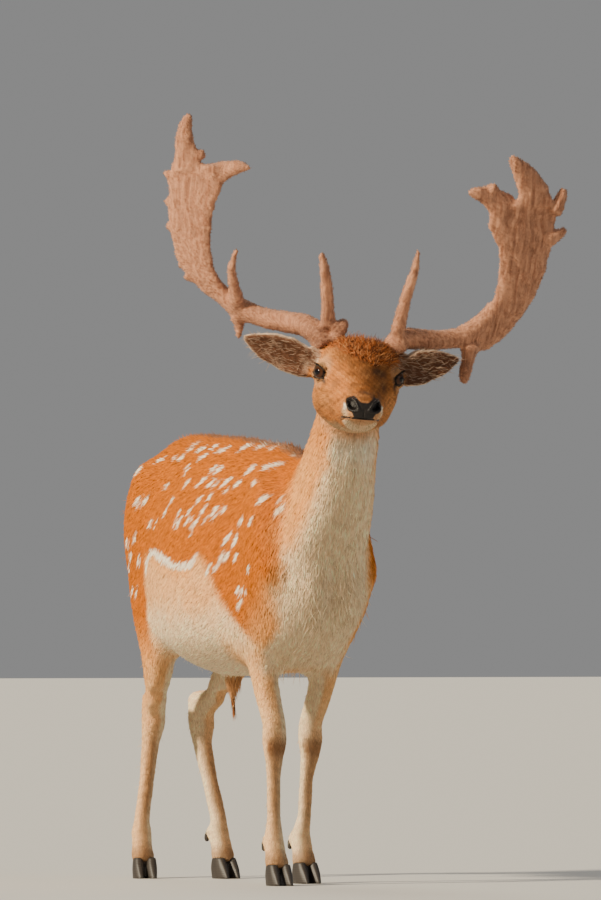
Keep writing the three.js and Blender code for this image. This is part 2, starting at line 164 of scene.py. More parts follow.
world = bpy.data.worlds.new("pale_sky")
world.use_nodes = True
world.node_tree.nodes["Background"].inputs["Color"].default_value = (0.88, 0.88, 0.88, 1)
world.node_tree.nodes["Background"].inputs["Strength"].default_value = 0.29
bpy.context.scene.world = world


def add_sun(name, turn, height, strength, colour, softness):
    """A far lamp, turned that many degrees from the camera's side of the deer."""
    lamp = bpy.data.lights.new(name, "SUN")
    lamp.energy = strength
    lamp.color = colour
    lamp.angle = math.radians(softness)
    angle = VIEW_TURN + math.radians(turn)
    towards = Vector((math.sin(angle), math.cos(angle), -math.tan(math.radians(height))))
    holder = bpy.data.objects.new(name, lamp)
    holder.rotation_euler = towards.to_track_quat("-Z", "Y").to_euler()
    bpy.context.scene.collection.objects.link(holder)


add_sun("key_lamp", 57, 28, 6.3, (1.0, 0.86, 0.64), 6)
add_sun("fill_lamp", -50, 25, 0.25, (0.86, 0.92, 1.0), 40)
add_sun("back_lamp", 165, 38, 0.8, (1.0, 0.94, 0.84), 25)


# ---- Skin: one hide over the whole body ----
# The flesh under the coat: trunk, neck, legs, head, ears and tail grown together into one closed
# shell. It is melted from the solids, relaxed, worked with the muscles and sunk by the coat's depth.
FLESH = ["trunk", "neck", "tail", "sheath_tuft"]
LIMBS = [f"{end}_{side}_leg" for end in ("front", "hind") for side in ("left", "right")]
FLESH += [f"{limb}_{half}" for limb in LIMBS for half in ("upper", "lower")]
HEAD_FLESH = ["head", "nose_pad", "ear_left", "ear_right", "eye_left", "eye_right"]


def grown_copies(nodes, growth):
    """Merged copies of solids, each grown a little, so that neighbours run into each other."""
    form = bmesh.new()
    for node in nodes:
        one = bmesh.new()
        one.from_mesh(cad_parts[node].data)
        bmesh.ops.remove_doubles(one, verts=one.verts, dist=1e-5)
        one.normal_update()
        for corner in one.verts:
            corner.co += corner.normal * growth
        held = mesh_from(node, one)
        form.from_mesh(held)
        bpy.data.meshes.remove(held)
    return form


def melted(name, form, voxel):
    """One closed shell round everything in the form."""
    shell = add_piece(name, mesh_from(name, form))
    melt = shell.modifiers.new("melt", "REMESH")
    melt.mode = "VOXEL"
    melt.voxel_size = voxel
    shell.modifiers.new("halves", "TRIANGULATE")
    depsgraph = bpy.context.evaluated_depsgraph_get()
    mesh = bpy.data.meshes.new_from_object(shell.evaluated_get(depsgraph))
    bpy.data.objects.remove(shell)
    return mesh


def places(mesh):
    co = np.empty(len(mesh.vertices) * 3)
    mesh.vertices.foreach_get("co", co)
    return co.reshape(-1, 3)


def corners_of(node):
    """A solid's corners on the deer's own axes."""
    return to_deer(places(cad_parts[node].data))


def put(mesh, co):
    mesh.vertices.foreach_set("co", co.ravel())
    mesh.update()


def push_out(mesh, rise):
    """Moves every point along its facing, by millimetres of its own."""
    put(mesh, places(mesh) + facings(mesh) * rise[:, None] / 1000)


def add_ball(form, head_place, radius):
    """Adds a ball to a form, at a place on the head's axes."""
    matrix = Matrix.Translation(Vector(from_head(head_place)))
    bmesh.ops.create_icosphere(form, subdivisions=3, radius=radius, matrix=matrix)


def facings(mesh):
    normals = np.empty(len(mesh.vertices) * 3)
    mesh.vertex_normals.foreach_get("vector", normals)
    return normals.reshape(-1, 3)


def relax(mesh, ease, rounds):
    """Draws every point towards the mean of its neighbours, by its ease from 0 to 1."""
    edges = np.empty(len(mesh.edges) * 2, int)
    mesh.edges.foreach_get("vertices", edges)
    a, b = edges.reshape(-1, 2).T
    co = places(mesh)
    count = len(co)
    degree = np.bincount(a, minlength=count) + np.bincount(b, minlength=count)
    ease = np.broadcast_to(ease, count)[:, None] * 0.5
    for _ in range(rounds):
        mean = np.stack(
            [
                np.bincount(a, co[b, k], count) + np.bincount(b, co[a, k], count)
                for k in range(3)
            ],
            1,
        )
        co += ease * (mean / degree[:, None] - co)
    put(mesh, co)


def ramp(value, low, high):
    """0 below low, 1 above high and smooth between, also with low above high."""
    t = np.clip((value - low) / (high - low), 0, 1)
    return t * t * (3 - 2 * t)


def near(points, centre, reach):
    """1 at a centre, fading to 0 over a reach of one or three lengths."""
    away = (points - np.asarray(centre)) / np.asarray(reach, float)
    return np.exp(-2 * np.sum(away * away, 1))


def swelling(points, forms):
    """How far the forms under the hide stand out at each point; those off the midline are paired."""
    total = np.zeros(len(points))
    for (x, y, z), spread, rise in forms:
        for side in {1, -1 if x else 1}:
            total += rise * near(points, (x * side, y, z), spread)
    return total


body_form = grown_copies(FLESH, 0.0012)
for corner in body_form.verts:
    if corner.co.z < 0.046:
        corner.co.z -= 0.007
body = melted("body", body_form, 0.0065)
deer = to_deer(places(body))
slim = ramp(deer[:, 2], 470, 330)
tail_like = ramp(deer[:, 1], 404, 416) * ramp(np.abs(deer[:, 0]), 40, 30)
relax(body, 1.0 - 0.93 * np.maximum(slim, tail_like), 55)

# Muscle and bone under the hide: [place on the deer, how far it spreads, how far it stands out].
BODY_FORMS = [
    ((70, -225, 780), (26, 40, 60), 4),  # top of the shoulder blade
    ((96, -262, 690), (30, 26, 80), 4),  # spine of the shoulder blade
    ((100, -330, 585), (40, 30, 40), 7),  # point of the shoulder
    ((96, -205, 600), (40, 40, 90), -5),  # hollow behind the shoulder
    ((90, -215, 520), (36, 44, 44), 6),  # back of the upper arm
    ((70, -190, 452), (24, 16, 20), 5),  # point of the elbow
    ((70, -340, 690), (34, 26, 80), -6),  # groove before the shoulder
    ((0, -395, 560), (16, 40, 90), -6),  # furrow of the breast
    ((36, -385, 560), (30, 40, 60), 5),  # breast muscle
    ((86, 208, 822), (30, 34, 26), 6),  # point of the hip
    ((112, 140, 770), (36, 60, 46), -8),  # hollow of the flank
    ((60, 392, 742), (26, 24, 26), 4),  # pin bone
    ((112, 300, 660), (40, 60, 80), 5),  # haunch
    ((98, 350, 590), (24, 18, 90), -4),  # groove at the back of the thigh
    ((104, 190, 500), (40, 40, 36), 5),  # stifle
    ((100, 155, 470), (34, 50, 40), 6),  # fold of the flank
    ((0, 100, 856), (14, 330, 30), 2),  # spine
    ((0, -215, 842), (22, 60, 30), 4),  # withers
    ((40, 30, 848), (22, 260, 24), 2),  # muscles beside the spine
    ((30, -505, 820), (20, 40, 90), -3),  # groove of the throat
    ((0, -535, 880), (24, 26, 30), 4),  # throat knob
]
deer = to_deer(places(body))
swell = swelling(deer, BODY_FORMS)
# the swelling over each coronet, and the pad each dewclaw grows from
swell += 2.4 * ramp(deer[:, 2], 66, 44)
for end in ("front", "hind"):
    for word in ("left", "right"):
        for half in ("inner", "outer"):
            claw = corners_of(f"dewclaw_{end}_{word}_{half}").mean(0)
            swell += 8 * near(deer, claw + (0, -3, 7), (14, 18, 19))
push_out(body, swell)

skull_form = grown_copies(HEAD_FLESH, 0.0009)
# the pedicles: furred stumps of bone that carry the antlers
for side in ("left", "right"):
    beam = to_head(corners_of(f"antler_{side}_beam"))
    foot = beam[beam[:, 2] < beam[:, 2].min() + 16].mean(0)
    for share, radius in ((0.0, 17.5), (0.16, 19), (0.34, 21)):
        add_ball(skull_form, foot + share * (np.array((0, 40, -10)) - foot), radius / 1000)
skull = melted("skull", skull_form, 0.0021)
head = to_head(to_deer(places(skull)))
ear_like = ramp(np.abs(head[:, 0]), 84, 96) * ramp(head[:, 1], 20, 40)
relax(skull, 1.0 - 0.94 * ear_like, 60)

whole = bmesh.new()
whole.from_mesh(body)
whole.from_mesh(skull)
skin_mesh = melted("skin", whole, 0.0026)
deer = to_deer(places(skin_mesh))
head = to_head(deer)
ear_like = ramp(np.abs(head[:, 0]), 84, 100) * ramp(head[:, 2], -40, -20)
nape = near(deer, (-10, -515, 960), (95, 70, 80))
relax(skin_mesh, np.clip(0.25 + 0.75 * nape, 0, 1) * (1 - 0.9 * ear_like), 14)

# The trunk and legs keep fewer, larger faces than the head.
shell = add_piece("skin", skin_mesh)
far_from_head = np.linalg.norm(head * (1, 0.75, 1) - (0, -20, 0), axis=1) > 175
thin_out = shell.vertex_groups.new(name="thin_out")
thin_out.add(np.flatnonzero(far_from_head).tolist(), 1.0, "REPLACE")
thinning = shell.modifiers.new("thinning", "DECIMATE")
thinning.ratio = 0.17
thinning.vertex_group = "thin_out"
depsgraph = bpy.context.evaluated_depsgraph_get()
skin_mesh = bpy.data.meshes.new_from_object(shell.evaluated_get(depsgraph))
bpy.data.objects.remove(shell)

# How deep the coat lies over each part of the hide, in millimetres, and the sinking of the hide.
BARE_NOSE = np.array((0, -157, -41))


def coat_depth(deer, head):
    """Short on the face, ears and shins, deepest on the neck and the breast."""
    depth = 1.6 + 2.6 * ramp(deer[:, 2], 380, 520)
    depth += 1.4 * near(deer, (0, -400, 720), (110, 110, 190))
    on_head = ramp(head_reach(head), 150, 105)
    depth += on_head * (1.7 - depth)
    depth += 4.0 * near(head, (0, 52, 60), (52, 34, 26))
    on_ear = ramp(np.abs(head[:, 0]), 84, 96) * ramp(head[:, 2], 0, 12)
    depth += on_ear * (0.4 - depth)
    depth *= 1 - ramp(np.linalg.norm((head - BARE_NOSE) / (38, 24, 24), axis=1), 1.1, 0.9)
    return depth


head = to_head(to_deer(places(skin_mesh)))
sunk = coat_depth(to_deer(places(skin_mesh)), head)
push_out(skin_mesh, -sunk)

# Finer faces round the eyes, nose and mouth, where the lids and nostrils are worked.
EYE_CENTRES = {side: np.array((side * 66.0, 4.0, 0.0)) for side in (1, -1)}
form = bmesh.new()
form.from_mesh(skin_mesh)
for reach_eye, reach_nose in ((31, 44), (27, 34)):
    form.verts.ensure_lookup_table()
    spots = to_head(to_deer(np.array([corner.co for corner in form.verts])))
    fine = np.linalg.norm(spots - BARE_NOSE, axis=1) < reach_nose
    for centre in EYE_CENTRES.values():
        fine |= np.linalg.norm(spots - centre, axis=1) < reach_eye
    fine |= (np.abs(spots[:, 2] + 62) < 7) & (spots[:, 1] < -92) & (reach_nose > 40)
    edges = [edge for edge in form.edges if all(fine[corner.index] for corner in edge.verts)]
    bmesh.ops.subdivide_edges(form, edges=edges, cuts=1, use_grid_fill=True, smooth=0.4)
    bmesh.ops.triangulate(form, faces=[face for face in form.faces if len(face.verts) > 3])
form.to_mesh(skin_mesh)
form.free()

# The bones and folds of the face, on the head's axes: [place, spread, rise].
FACE_FORMS = [
    ((58, -2, 27), (17, 16, 8), 3.4),  # brow
    ((62, -26, -24), (16, 34, 8), 2.6),  # cheekbone
    ((44, -64, -6), (12, 40, 14), -2.4),  # hollow beside the nose bone
    ((66, 26, -52), (16, 30, 28), 3.0),  # cheek
    ((66, 44, 30), (16, 16, 16), -3.0),  # temple
    ((0, -70, 32), (12, 60, 14), 1.2),  # nose bone
    ((0, -2, 62), (10, 26, 12), -1.5),  # furrow of the forehead
    ((26, -2, 58), (16, 24, 12), 1.8),  # forehead
    ((38, -122, -50), (10, 18, 10), 2.6),  # upper lip
    ((26, -150, -62), (12, 14, 9), 2.0),  # front of the lip
    ((0, -130, -84), (14, 16, 8), 1.5),  # chin
    ((46, -96, -66), (12, 14, 12), -2.0),  # corner of the mouth
    ((50, -40, 6), (10, 24, 12), -1.6),  # hollow before the eye
]
head = to_head(to_deer(places(skin_mesh)))
swell = swelling(head, FACE_FORMS)
# the neck fills out behind the right cheek, where the head turns towards it
swell += 26 * near(head, (-74, 62, -76), (38, 46, 50))
# the mouth: a slit from the front back to its corners, with the lower lip set back a little
mouth_level = -61.5 - 5 * ramp(head[:, 1], -146, -100)
slit_reach = ramp(head[:, 1], -90, -100)
swell -= 3.2 * slit_reach * np.exp(-(((head[:, 2] - mouth_level) / 1.7) ** 2))
swell -= 2.0 * slit_reach * ramp(head[:, 2] - mouth_level, -1, -3) * ramp(head[:, 2], -84, -74)
# the cleft between the nostrils
swell -= 1.3 * near(head, (0, -158, -54), (2.2, 14, 12))
swell -= 0.8 * near(head, (0, -158, -30), (7, 14, 8))
push_out(skin_mesh, swell)
# the lower jaw hangs a little deeper behind the chin
head = to_head(to_deer(places(skin_mesh)))
drop = ramp(head[:, 2], -48, -76) * ramp(head[:, 1], -132, -96) * ramp(head[:, 1], 70, 0)
head[:, 2] -= 11 * drop
put(skin_mesh, from_head(head))

# Nostrils: each a comma pushed back into the muzzle, with a raised wing round it.
head = to_head(to_deer(places(skin_mesh)))
moved = head.copy()
for side in (1, -1):
    x = side * (head[:, 0] - side * 23.5)
    z = head[:, 2] + 37.5
    slant = math.radians(24)
    across, along = x * math.cos(slant) - z * math.sin(slant), x * math.sin(slant) + z * math.cos(slant)
    across = across - 0.035 * along * along * np.sign(along)
    ring = np.hypot(across / 6.8, along / 9.6)
    front = ramp(head[:, 1], -112, -128) * (np.abs(x) < 26) * (np.abs(z) < 26)
    hole = ramp(ring, 1.05, 0.62) * front
    rim = np.exp(-(((ring - 1.42) / 0.34) ** 2)) * front
    moved[:, 1] += 15 * hole
    moved[:, 0] -= side * 4 * hole
    moved += facings(skin_mesh) @ head_turn * (2.0 * rim)[:, None]

# Lids: round each eyeball the skin is drawn to a ball a little larger than the eye, with an almond
# opening where it drops away behind the eye. The tear gland is a slit ahead of the front corner.
EYE_RADIUS = 16.6
LID_LONG = (69.0, 55.0)
LID_TALL = (36.0, 30.0)
gazes = {side: np.array((side * 0.81, -0.575, 0.06)) for side in (1, -1)}
eye_ways, tear_lines = {}, []


def seen_from_eye(away, side):
    """Degrees sideways and upward from the gaze, how far the lids reach that way, and 1 on them."""
    gaze, front_way, up_way = eye_ways[side]
    sideways = np.degrees(np.arctan2(away @ front_way, away @ gaze))
    upward = np.degrees(np.arctan2(away @ up_way, np.hypot(away @ gaze, away @ front_way)))
    long, tall = np.where(sideways > 0, *LID_LONG), np.where(upward > 0, *LID_TALL)
    return sideways, upward, long, np.hypot(sideways / long, upward / tall)


for side, centre in EYE_CENTRES.items():
    gaze = gazes[side] / np.linalg.norm(gazes[side])
    front_way = np.array((-side * 0.50, -0.72, -0.34))
    front_way -= gaze * (front_way @ gaze)
    front_way /= np.linalg.norm(front_way)
    up_way = np.cross(gaze, front_way) * side
    up_way *= np.sign(up_way[2])
    eye_ways[side] = gaze, front_way, up_way
    away = moved - centre
    span = np.linalg.norm(away, axis=1)
    facing = away @ gaze
    sideways, upward, along, ring = seen_from_eye(away, side)
    ring = ring + 0.10 * np.abs(sideways / along) ** 3
    close = (facing > 0) & (span < 34)
    lid = 18.6 - 0.9 * ramp(ring, 1.25, 1.5) * (upward > 0) * ramp(ring, 1.75, 1.5)
    lid = np.where(ring < 1, 13.5 + 5.0 * ramp(ring, 0.86, 1.04), lid)
    hold = ramp(ring, 2.5, 1.35) * close
    new_span = span + hold * (lid - span)
    moved = centre + away * (new_span / np.maximum(span, 1e-6))[:, None]
    # the tear gland
    start = centre + EYE_RADIUS * 1.06 * (math.cos(0.92) * gaze + math.sin(0.92) * front_way)
    end = start + 20 * (front_way * 0.9 - up_way * 0.42)
    along = np.clip((moved - start) @ (end - start) / 400, 0, 1)
    off = np.linalg.norm(moved - start - along[:, None] * (end - start), axis=1)
    groove = np.exp(-((off / 2.3) ** 2)) * (1 - 0.5 * along)
    tear_lines.append((start, end))
    moved -= (facings(skin_mesh) @ head_turn) * (2.6 * groove)[:, None]
put(skin_mesh, from_head(moved))


# ---- Markings, and painted shade on the left of the face: the colours of hide and coat ----
# Bright rufous with white spots in rows and a white line along the flank, a dark line down the
# back, cream underneath and on the breast, and a white rump with a black edge.
RUFOUS = (0.50, 0.128, 0.005)
TAN = (0.84, 0.40, 0.135)
CREAM = (0.92, 0.68, 0.43)
WHITE = (0.93, 0.82, 0.65)
BLACK = (0.011, 0.008, 0.007)
# the rows of spots on each side: height on the deer, and how far back each spot lies
SPOT_ROWS = {
    822: (150, 96, 44, -12, -66, -120, -170, -214),
    808: (254, 167, 56, -252),
    785: (310, 99, -21, -46, -157, -246),
    759: (178, 53, -4, -51, -94, -137, -229),
    730: (283, 254, 109, -25, -62, -279),
    710: (122, 42, -8, -64, -99, -125, -316),
    687: (210, 170, 23, -14, -50, -203, -270),
    655: (275, 318, -160, -190),
    622: (295, 258, -152, -174, -205),
    600: (325, -123, -150, -278),
    560: (270, 300, -225, -250),
    532: (-232, -246),
}
FLANK_LINE = (
    (-84, 628), (-76, 614), (-56, 604), (0, 606), (75, 622), (150, 634), (180, 634), (197, 612),
    (203, 586),
)  # fmt: skip


def add_tint(mesh, colours):
    layer = mesh.color_attributes.new("tint", "FLOAT_COLOR", "POINT")
    layer.data.foreach_set("color", np.column_stack((colours, np.ones(len(colours)))).ravel())


def add_values(mesh, name, values):
    layer = mesh.attributes.new(name, "FLOAT", "POINT")
    layer.data.foreach_set("value", values)


def wander(points, pitch, seed):
    """Smooth random values from -1 to 1 that change over about the pitch."""
    dice = np.random.default_rng(seed)
    total = np.zeros(len(points))
    for _ in range(9):
        way = dice.normal(size=3)
        total += np.sin(points @ way * (math.pi / pitch / 1.5) + dice.uniform(0, 6.3))
    return np.clip(total / 4.2, -1, 1)


dice = np.random.default_rng(7)
spots = {side: [] for side in (1, -1)}
for height, row in SPOT_ROWS.items():
    for back in row:
        for side in (1, -1):
            loose = 3 if side < 0 else 13
            place = np.array((back, height)) + dice.normal(size=2) * (loose, loose * 0.6)
            spots[side].append((*place, dice.uniform(8, 14), dice.uniform(3.8, 6.2), 0.92))
            # fainter ones between them
            if dice.random() < 0.55:
                place = place + dice.normal(size=2) * (20, 12)
                spots[side].append((*place, dice.uniform(7, 13), dice.uniform(2.6, 4.4), 0.55))


def steepness(deer):
    """How steeply the hair slopes down the side of the trunk, in radians."""
    heights, slopes = (380, 430, 520, 600, 700, 790, 840), (6, 18, 46, 60, 52, 32, 14)
    slope = np.interp(deer[:, 2], heights, slopes)
    slope += (86 - slope) * ramp(deer[:, 1], 318, 372)
    slope += (80 - slope) * ramp(deer[:, 1], -262, -325) * ramp(deer[:, 2], 770, 700)
    return np.radians(slope)


# soft marks of the face, some with painted shade of the shaded left side: colour, strength, place on the
# head's axes and spread
FACE_MARKS_AND_SHADE = [
    # partly a darker marking, partly painted shade of the shaded left side of the face
    ((0.13, 0.062, 0.036), 0.75, (40, -66, -10), (13, 36, 20)),  # left side of the nose bone
    ((0.22, 0.095, 0.042), 0.6, (-32, -18, 30), (24, 26, 9)),  # right brow
    ((0.72, 0.40, 0.20), 0.5, (-38, 4, 46), (22, 24, 8)),  # pale patch above it
    ((0.34, 0.17, 0.085), 0.5, (0, -78, 16), (26, 50, 26)),  # ridge of the nose
    ((0.10, 0.062, 0.052), 0.9, (4, -126, -15), (21, 13, 7.5)),  # dark saddle behind the nose pad
    # partly a darker marking, partly painted shade of the shaded left side of the face
    ((0.20, 0.11, 0.07), 0.7, (33, -112, -22), (9, 26, 16)),  # left side of the muzzle
]
# dark marks on the front of the knees: place on the deer and spread
BOTH_LEGS = 999
KNEE_MARKS = [((0, -262, 262), (BOTH_LEGS, 40, 26)), ((58, -158, 262), (40, 34, 26))]


def markings_and_shade(deer, head, facing):
    """The coat's colour at places on the hide, from where they are and which way they face."""
    x, y, z = deer.T
    side = np.where(x < 0, -1, 1)
    front, inward = -facing[:, 1], -side * facing[:, 0]
    soft = wander(deer, 26, 11)
    ragged = wander(deer, 6, 12)
    colour = np.tile(np.array(RUFOUS), (len(deer), 1))

    def lay(tone, cover):
        nonlocal colour
        colour = colour + np.clip(cover, 0, 1)[:, None] * (np.array(tone) - colour)

    on_trunk = ramp(y, -345, -325)
    # below the flank line the side is tan, then cream on the belly
    line_level = np.interp(y, *zip(*FLANK_LINE[:7]))
    behind_elbow = ramp(y - (-128 + 0.91 * (z - 600)), -12, 22) * ramp(y + 8 * soft, 226, 190)
    lay(TAN, 0.85 * ramp(z + 4 * soft, line_level + 6, line_level - 10) * behind_elbow)
    lay(CREAM, 0.2 * ramp(z + 4 * soft, line_level - 4, line_level - 40) * behind_elbow)
    lay(CREAM, ramp(z + 14 * soft, 556, 470) * behind_elbow)
    lay(CREAM, ramp(z + 10 * soft, 480, 440) * on_trunk * ramp(facing[:, 2], -0.1, -0.5))
    # the white line
    away = np.full(len(deer), 99.0)
    for (y0, z0), (y1, z1) in zip(FLANK_LINE, FLANK_LINE[1:]):
        share = ((y - y0) * (y1 - y0) + (z - z0) * (z1 - z0)) / ((y1 - y0) ** 2 + (z1 - z0) ** 2)
        share = np.clip(share, 0, 1)
        away = np.minimum(away, np.hypot(y - y0 - share * (y1 - y0), z - z0 - share * (z1 - z0)))
    ends = ramp(y, -92, -70) * ramp(z, 582, 606)
    frayed = away + 2.5 * soft + 2.0 * ragged
    lay(WHITE, 0.92 * ramp(frayed, 10 * ends, 5 * ends) * ends * (np.abs(x) > 60))
    # the spots, drawn out along the hair
    slope = steepness(deer)
    for which, row in spots.items():
        mine = np.flatnonzero((x * which > 6) & (z > 500) & (y < 350) & (y > -350))
        cover = np.zeros(len(mine))
        cos, sin = np.cos(slope[mine]), np.sin(slope[mine])
        for back, height, long, wide, strength in row:
            dy, dz = y[mine] - back, z[mine] - height
            run, cross = dy * cos - dz * sin, dy * sin + dz * cos
            blot = np.hypot(run / long, cross / wide) + 0.30 * ragged[mine]
            cover = np.maximum(cover, ramp(blot, 1.35, 0.65) * strength)
        whole_cover = np.zeros(len(deer))
        whole_cover[mine] = cover
        lay(WHITE, whole_cover)
    # the dark line down the back, broken by grey
    lay((0.22, 0.105, 0.055), 0.85 * ramp(np.abs(x) + 5 * soft, 20, 9) * ramp(z, 790, 806) * (y < 392))
    # thighs and forelegs: paler down the leg, whitish inside
    leg = np.maximum(ramp(z, 520, 400) * ramp(np.abs(y - 20), 150, 190), ramp(z, 385, 360))
    lay(TAN, leg * 0.85)
    lay(CREAM, leg * ramp(z, 420, 250) * 0.45)
    lay(CREAM, ramp(inward, 0.0, 0.5) * ramp(z, 560, 500))
    lay(CREAM, ramp(-front, 0.3, 0.8) * ramp(z, 330, 280) * 0.6)
    lay((0.36, 0.175, 0.075), ramp(front, 0.2, 0.8) * ramp(z, 300, 250) * ramp(z, 90, 160) * 0.55)
    for centre, spread in KNEE_MARKS:
        lay((0.24, 0.10, 0.04), near(deer, centre, spread) * ramp(front, 0.1, 0.6))
    lay((0.30, 0.15, 0.07), ramp(z, 75, 50) * 0.7)
    # rump: white with a black edge, and the tail black above
    off_rump = np.hypot(x / 60, (z - 690) / 122) + 0.07 * soft
    at_rump = ramp(y, 352, 372)
    lay(BLACK, ramp(off_rump, 1.24, 1.12) * at_rump * ramp(z, 560, 610))
    lay(WHITE, ramp(off_rump, 1.08, 0.96) * at_rump)
    on_tail = ramp(y, 403, 409) * ramp(np.abs(x), 36, 28)
    lay(BLACK, on_tail * ramp(-front, -0.1, 0.3))
    # neck and breast: cream in front, tan at the sides
    on_neck = ramp(y, -300, -360)
    point = ramp(y, -215, -270) * ramp(z + 14 * soft, 620, 550) * ramp(z, 400, 440)
    lay(TAN, 0.7 * point * ramp(np.abs(x), 122, 96))
    lay((0.72, 0.26, 0.055), on_neck * ramp(z, 600, 700) * 0.8)
    upper = on_neck * ramp(z, 770, 870)
    breast_half = np.interp(z, (540, 680, 780, 900), (96, 70, 48, 38))
    across = np.abs(x + 10 * ramp(z, 700, 900))
    edge = across + 9 * soft + 5 * ragged
    lay(TAN, 0.75 * on_neck * ramp(edge, breast_half + 36, breast_half + 4))
    lay((0.66, 0.25, 0.065), 0.75 * upper)
    from_front = ramp(front + 0.1 * soft, 0.10, 0.6)
    lay(CREAM, on_neck * from_front * ramp(edge, breast_half + 16, breast_half - 16))
    lay(WHITE, on_neck * ramp(front, 0.45, 0.9) * ramp(z, 760, 840) * 0.7)
    low_breast = ramp(y, -190, -250) * ramp(z + 12 * soft, 575, 515) * ramp(z, 380, 420)
    lay(CREAM, low_breast * ramp(np.abs(x) + 6 * soft, 92, 70))
    lay((0.36, 0.17, 0.08), near(deer, (0, -300, 860), (46, 130, 60)) * ramp(front, 0.1, -0.4) * 0.6)

    # the head, on its own axes
    hx, hy, hz = head.T
    ear = ear_part(head)
    reach = head_reach(head, (0, -12, -6))
    lay((0.64, 0.32, 0.145), 0.85 * ramp(reach, 150, 122) * (1 - ear))
    face = ramp(reach, 124, 104) * (1 - ear)
    # streaks that run with the hair of the face
    streaks = wander(np.column_stack((hx, 0.28 * hy, hz)), 5, 13)
    blots = wander(np.column_stack((hx, 0.5 * hy, hz)), 13, 14)
    lay((0.55, 0.205, 0.052), face)
    lay((0.70, 0.32, 0.11), 0.75 * face * near(np.abs(head), (60, 30, 46), (24, 60, 30)) * (hy < 30))
    lay((0.40, 0.155, 0.055), 0.75 * face * near(head, (0, 0, 44), (54, 46, 24)))
    lay((0.30, 0.085, 0.026), face * ramp(hz - crown_edge(head) + 4 * blots, -5, 5))
    # a very dark patch before the left eye only: partly a marking, partly painted shade of the shaded
    # left side of the face
    before_left_eye = np.minimum(1, 1.3 * near(head, (30, -42, 12), (36, 34, 13)))
    lay((0.075, 0.040, 0.026), face * before_left_eye * (0.75 + 0.4 * blots))
    for tone, strength, centre, spread in FACE_MARKS_AND_SHADE:
        lay(tone, strength * face * near(head, centre, spread))
    lay((0.23, 0.090, 0.034), 0.62 * face * ramp(streaks, 0.2, 0.8))
    lay((0.74, 0.37, 0.13), 0.36 * face * ramp(-streaks, 0.3, 0.9))
    lay((0.27, 0.115, 0.045), 0.55 * face * ramp(blots, 0.15, 0.85))
    lay((0.66, 0.33, 0.13), 0.6 * face * near(head, (0, -140, -26), (17, 12, 5)))
    lay(CREAM, 0.8 * face * near(np.abs(head), (22, 142, 19), (14, 12, 4)))
    jaw_level = -66 - 5 * ramp(hy, -146, -100)
    lay((0.70, 0.46, 0.25), face * ramp(hz + 5 * soft, -80, -98) * ramp(hy, 30, -20))
    lay(CREAM, 0.9 * face * ramp(hz, jaw_level + 3, jaw_level - 2) * ramp(hy, -92, -106))
    lay(WHITE, face * np.minimum(1, 2.4 * near(np.abs(head), (36.5, 144, 40), (7, 15, 17))))
    lay((0.80, 0.56, 0.33), face * np.minimum(1, 1.4 * near(np.abs(head), (31, 138, 56), (16, 26, 10))))
    lay((0.80, 0.52, 0.30), 0.40 * face * eye_ring(head))
    lay((0.10, 0.070, 0.058), 0.9 * near_line(head, 5.5) * face)
    lay(BLACK, 0.95 * lid_black(head))
    # ears: tan behind, dark in the hollow, and paler towards the foot and the rim
    in_ear = ear * ramp(facing @ head_turn[:, 1], -0.05, -0.35)
    lay((0.40, 0.20, 0.10), ear)
    lay((0.15, 0.068, 0.040), in_ear * 0.9)
    pale_foot = ramp(0.6 * ragged + soft + 0.9 * ramp(np.abs(hx), 124, 92), 0.5, 1.2)
    lay((0.50, 0.33, 0.23), in_ear * 0.7 * pale_foot)
    rim = ear * ramp(np.abs(facing @ head_turn[:, 1]), 0.80, 0.35)
    lay((0.74, 0.54, 0.38), rim * 0.9)
    # bare black skin on the nose and lips
    lay(BLACK, bare_nose(head))
    return colour


def crown_edge(head):
    """How far down the forehead the long hair of the crown reaches; it parts lower on the left."""
    return np.interp(head[:, 0], (-60, -43, -22, -4, 25, 54, 72), (46, 46, 38, 31, 22, 24, 32))


def ear_part(head):
    """1 on the ears and 0 on the rest of the head."""
    x, y, z = np.abs(head[:, 0]), head[:, 1], head[:, 2]
    cover = np.maximum(ramp(x, 84, 94), ramp(x, 66, 76) * ramp(y, 26, 38) * ramp(z, -4, 10))
    return cover * (np.abs(y) < 130) * ramp(z, -46, -34)


def eye_ring(head):
    cover = np.zeros(len(head))
    for centre in EYE_CENTRES.values():
        off = np.linalg.norm((head - centre) * (1, 1, 0.92), axis=1)
        cover = np.maximum(cover, ramp(off, 36, 19))
    return cover


def opening(head, side):
    """1 on the edge of the lids and more outside it, from the direction seen from the eyeball."""
    away = head - EYE_CENTRES[side]
    sideways, _, _, ring = seen_from_eye(away, side)
    ring = ring + 0.10 * np.abs(sideways / 60) ** 3
    return np.where((away @ eye_ways[side][0] > -2) & (np.linalg.norm(away, axis=1) < 26), ring, 9)


def lid_black(head):
    cover = np.zeros(len(head))
    for side in EYE_CENTRES:
        cover = np.maximum(cover, ramp(opening(head, side), 1.32, 1.16))
    return cover


def near_line(head, reach):
    """1 along the slit of each tear gland."""
    cover = np.zeros(len(head))
    for start, end in tear_lines:
        along = np.clip((head - start) @ (end - start) / ((end - start) @ (end - start)), 0, 1)
        off = np.linalg.norm(head - start - along[:, None] * (end - start), axis=1)
        cover = np.maximum(cover, ramp(off, reach, reach * 0.4))
    return cover


def bare_nose(head):
    """1 on the moist nose between and in the nostrils, and along the mouth."""
    x, y, z = np.abs(head[:, 0]), head[:, 1], head[:, 2]
    wide = np.interp(z, (-62, -52, -42, -30, -23), (18, 23, 34, 34, 27))
    top = -31 + 9 * ramp(x, 4, 20)
    pad = ramp(x, wide, wide - 3) * ramp(z, top + 2, top - 2) * ramp(z, -63, -60) * ramp(y, -122, -130)
    inside = ramp(np.hypot((x - 23.5) / 8.5, (z + 37.5) / 11.5), 1.25, 1.0) * ramp(y, -100, -110)
    lip = ramp(np.abs(z + 61.5 + 5 * ramp(y, -146, -100)), 2.8, 1.2) * ramp(y, -92, -98)
    return np.maximum(np.maximum(pad, inside), lip)


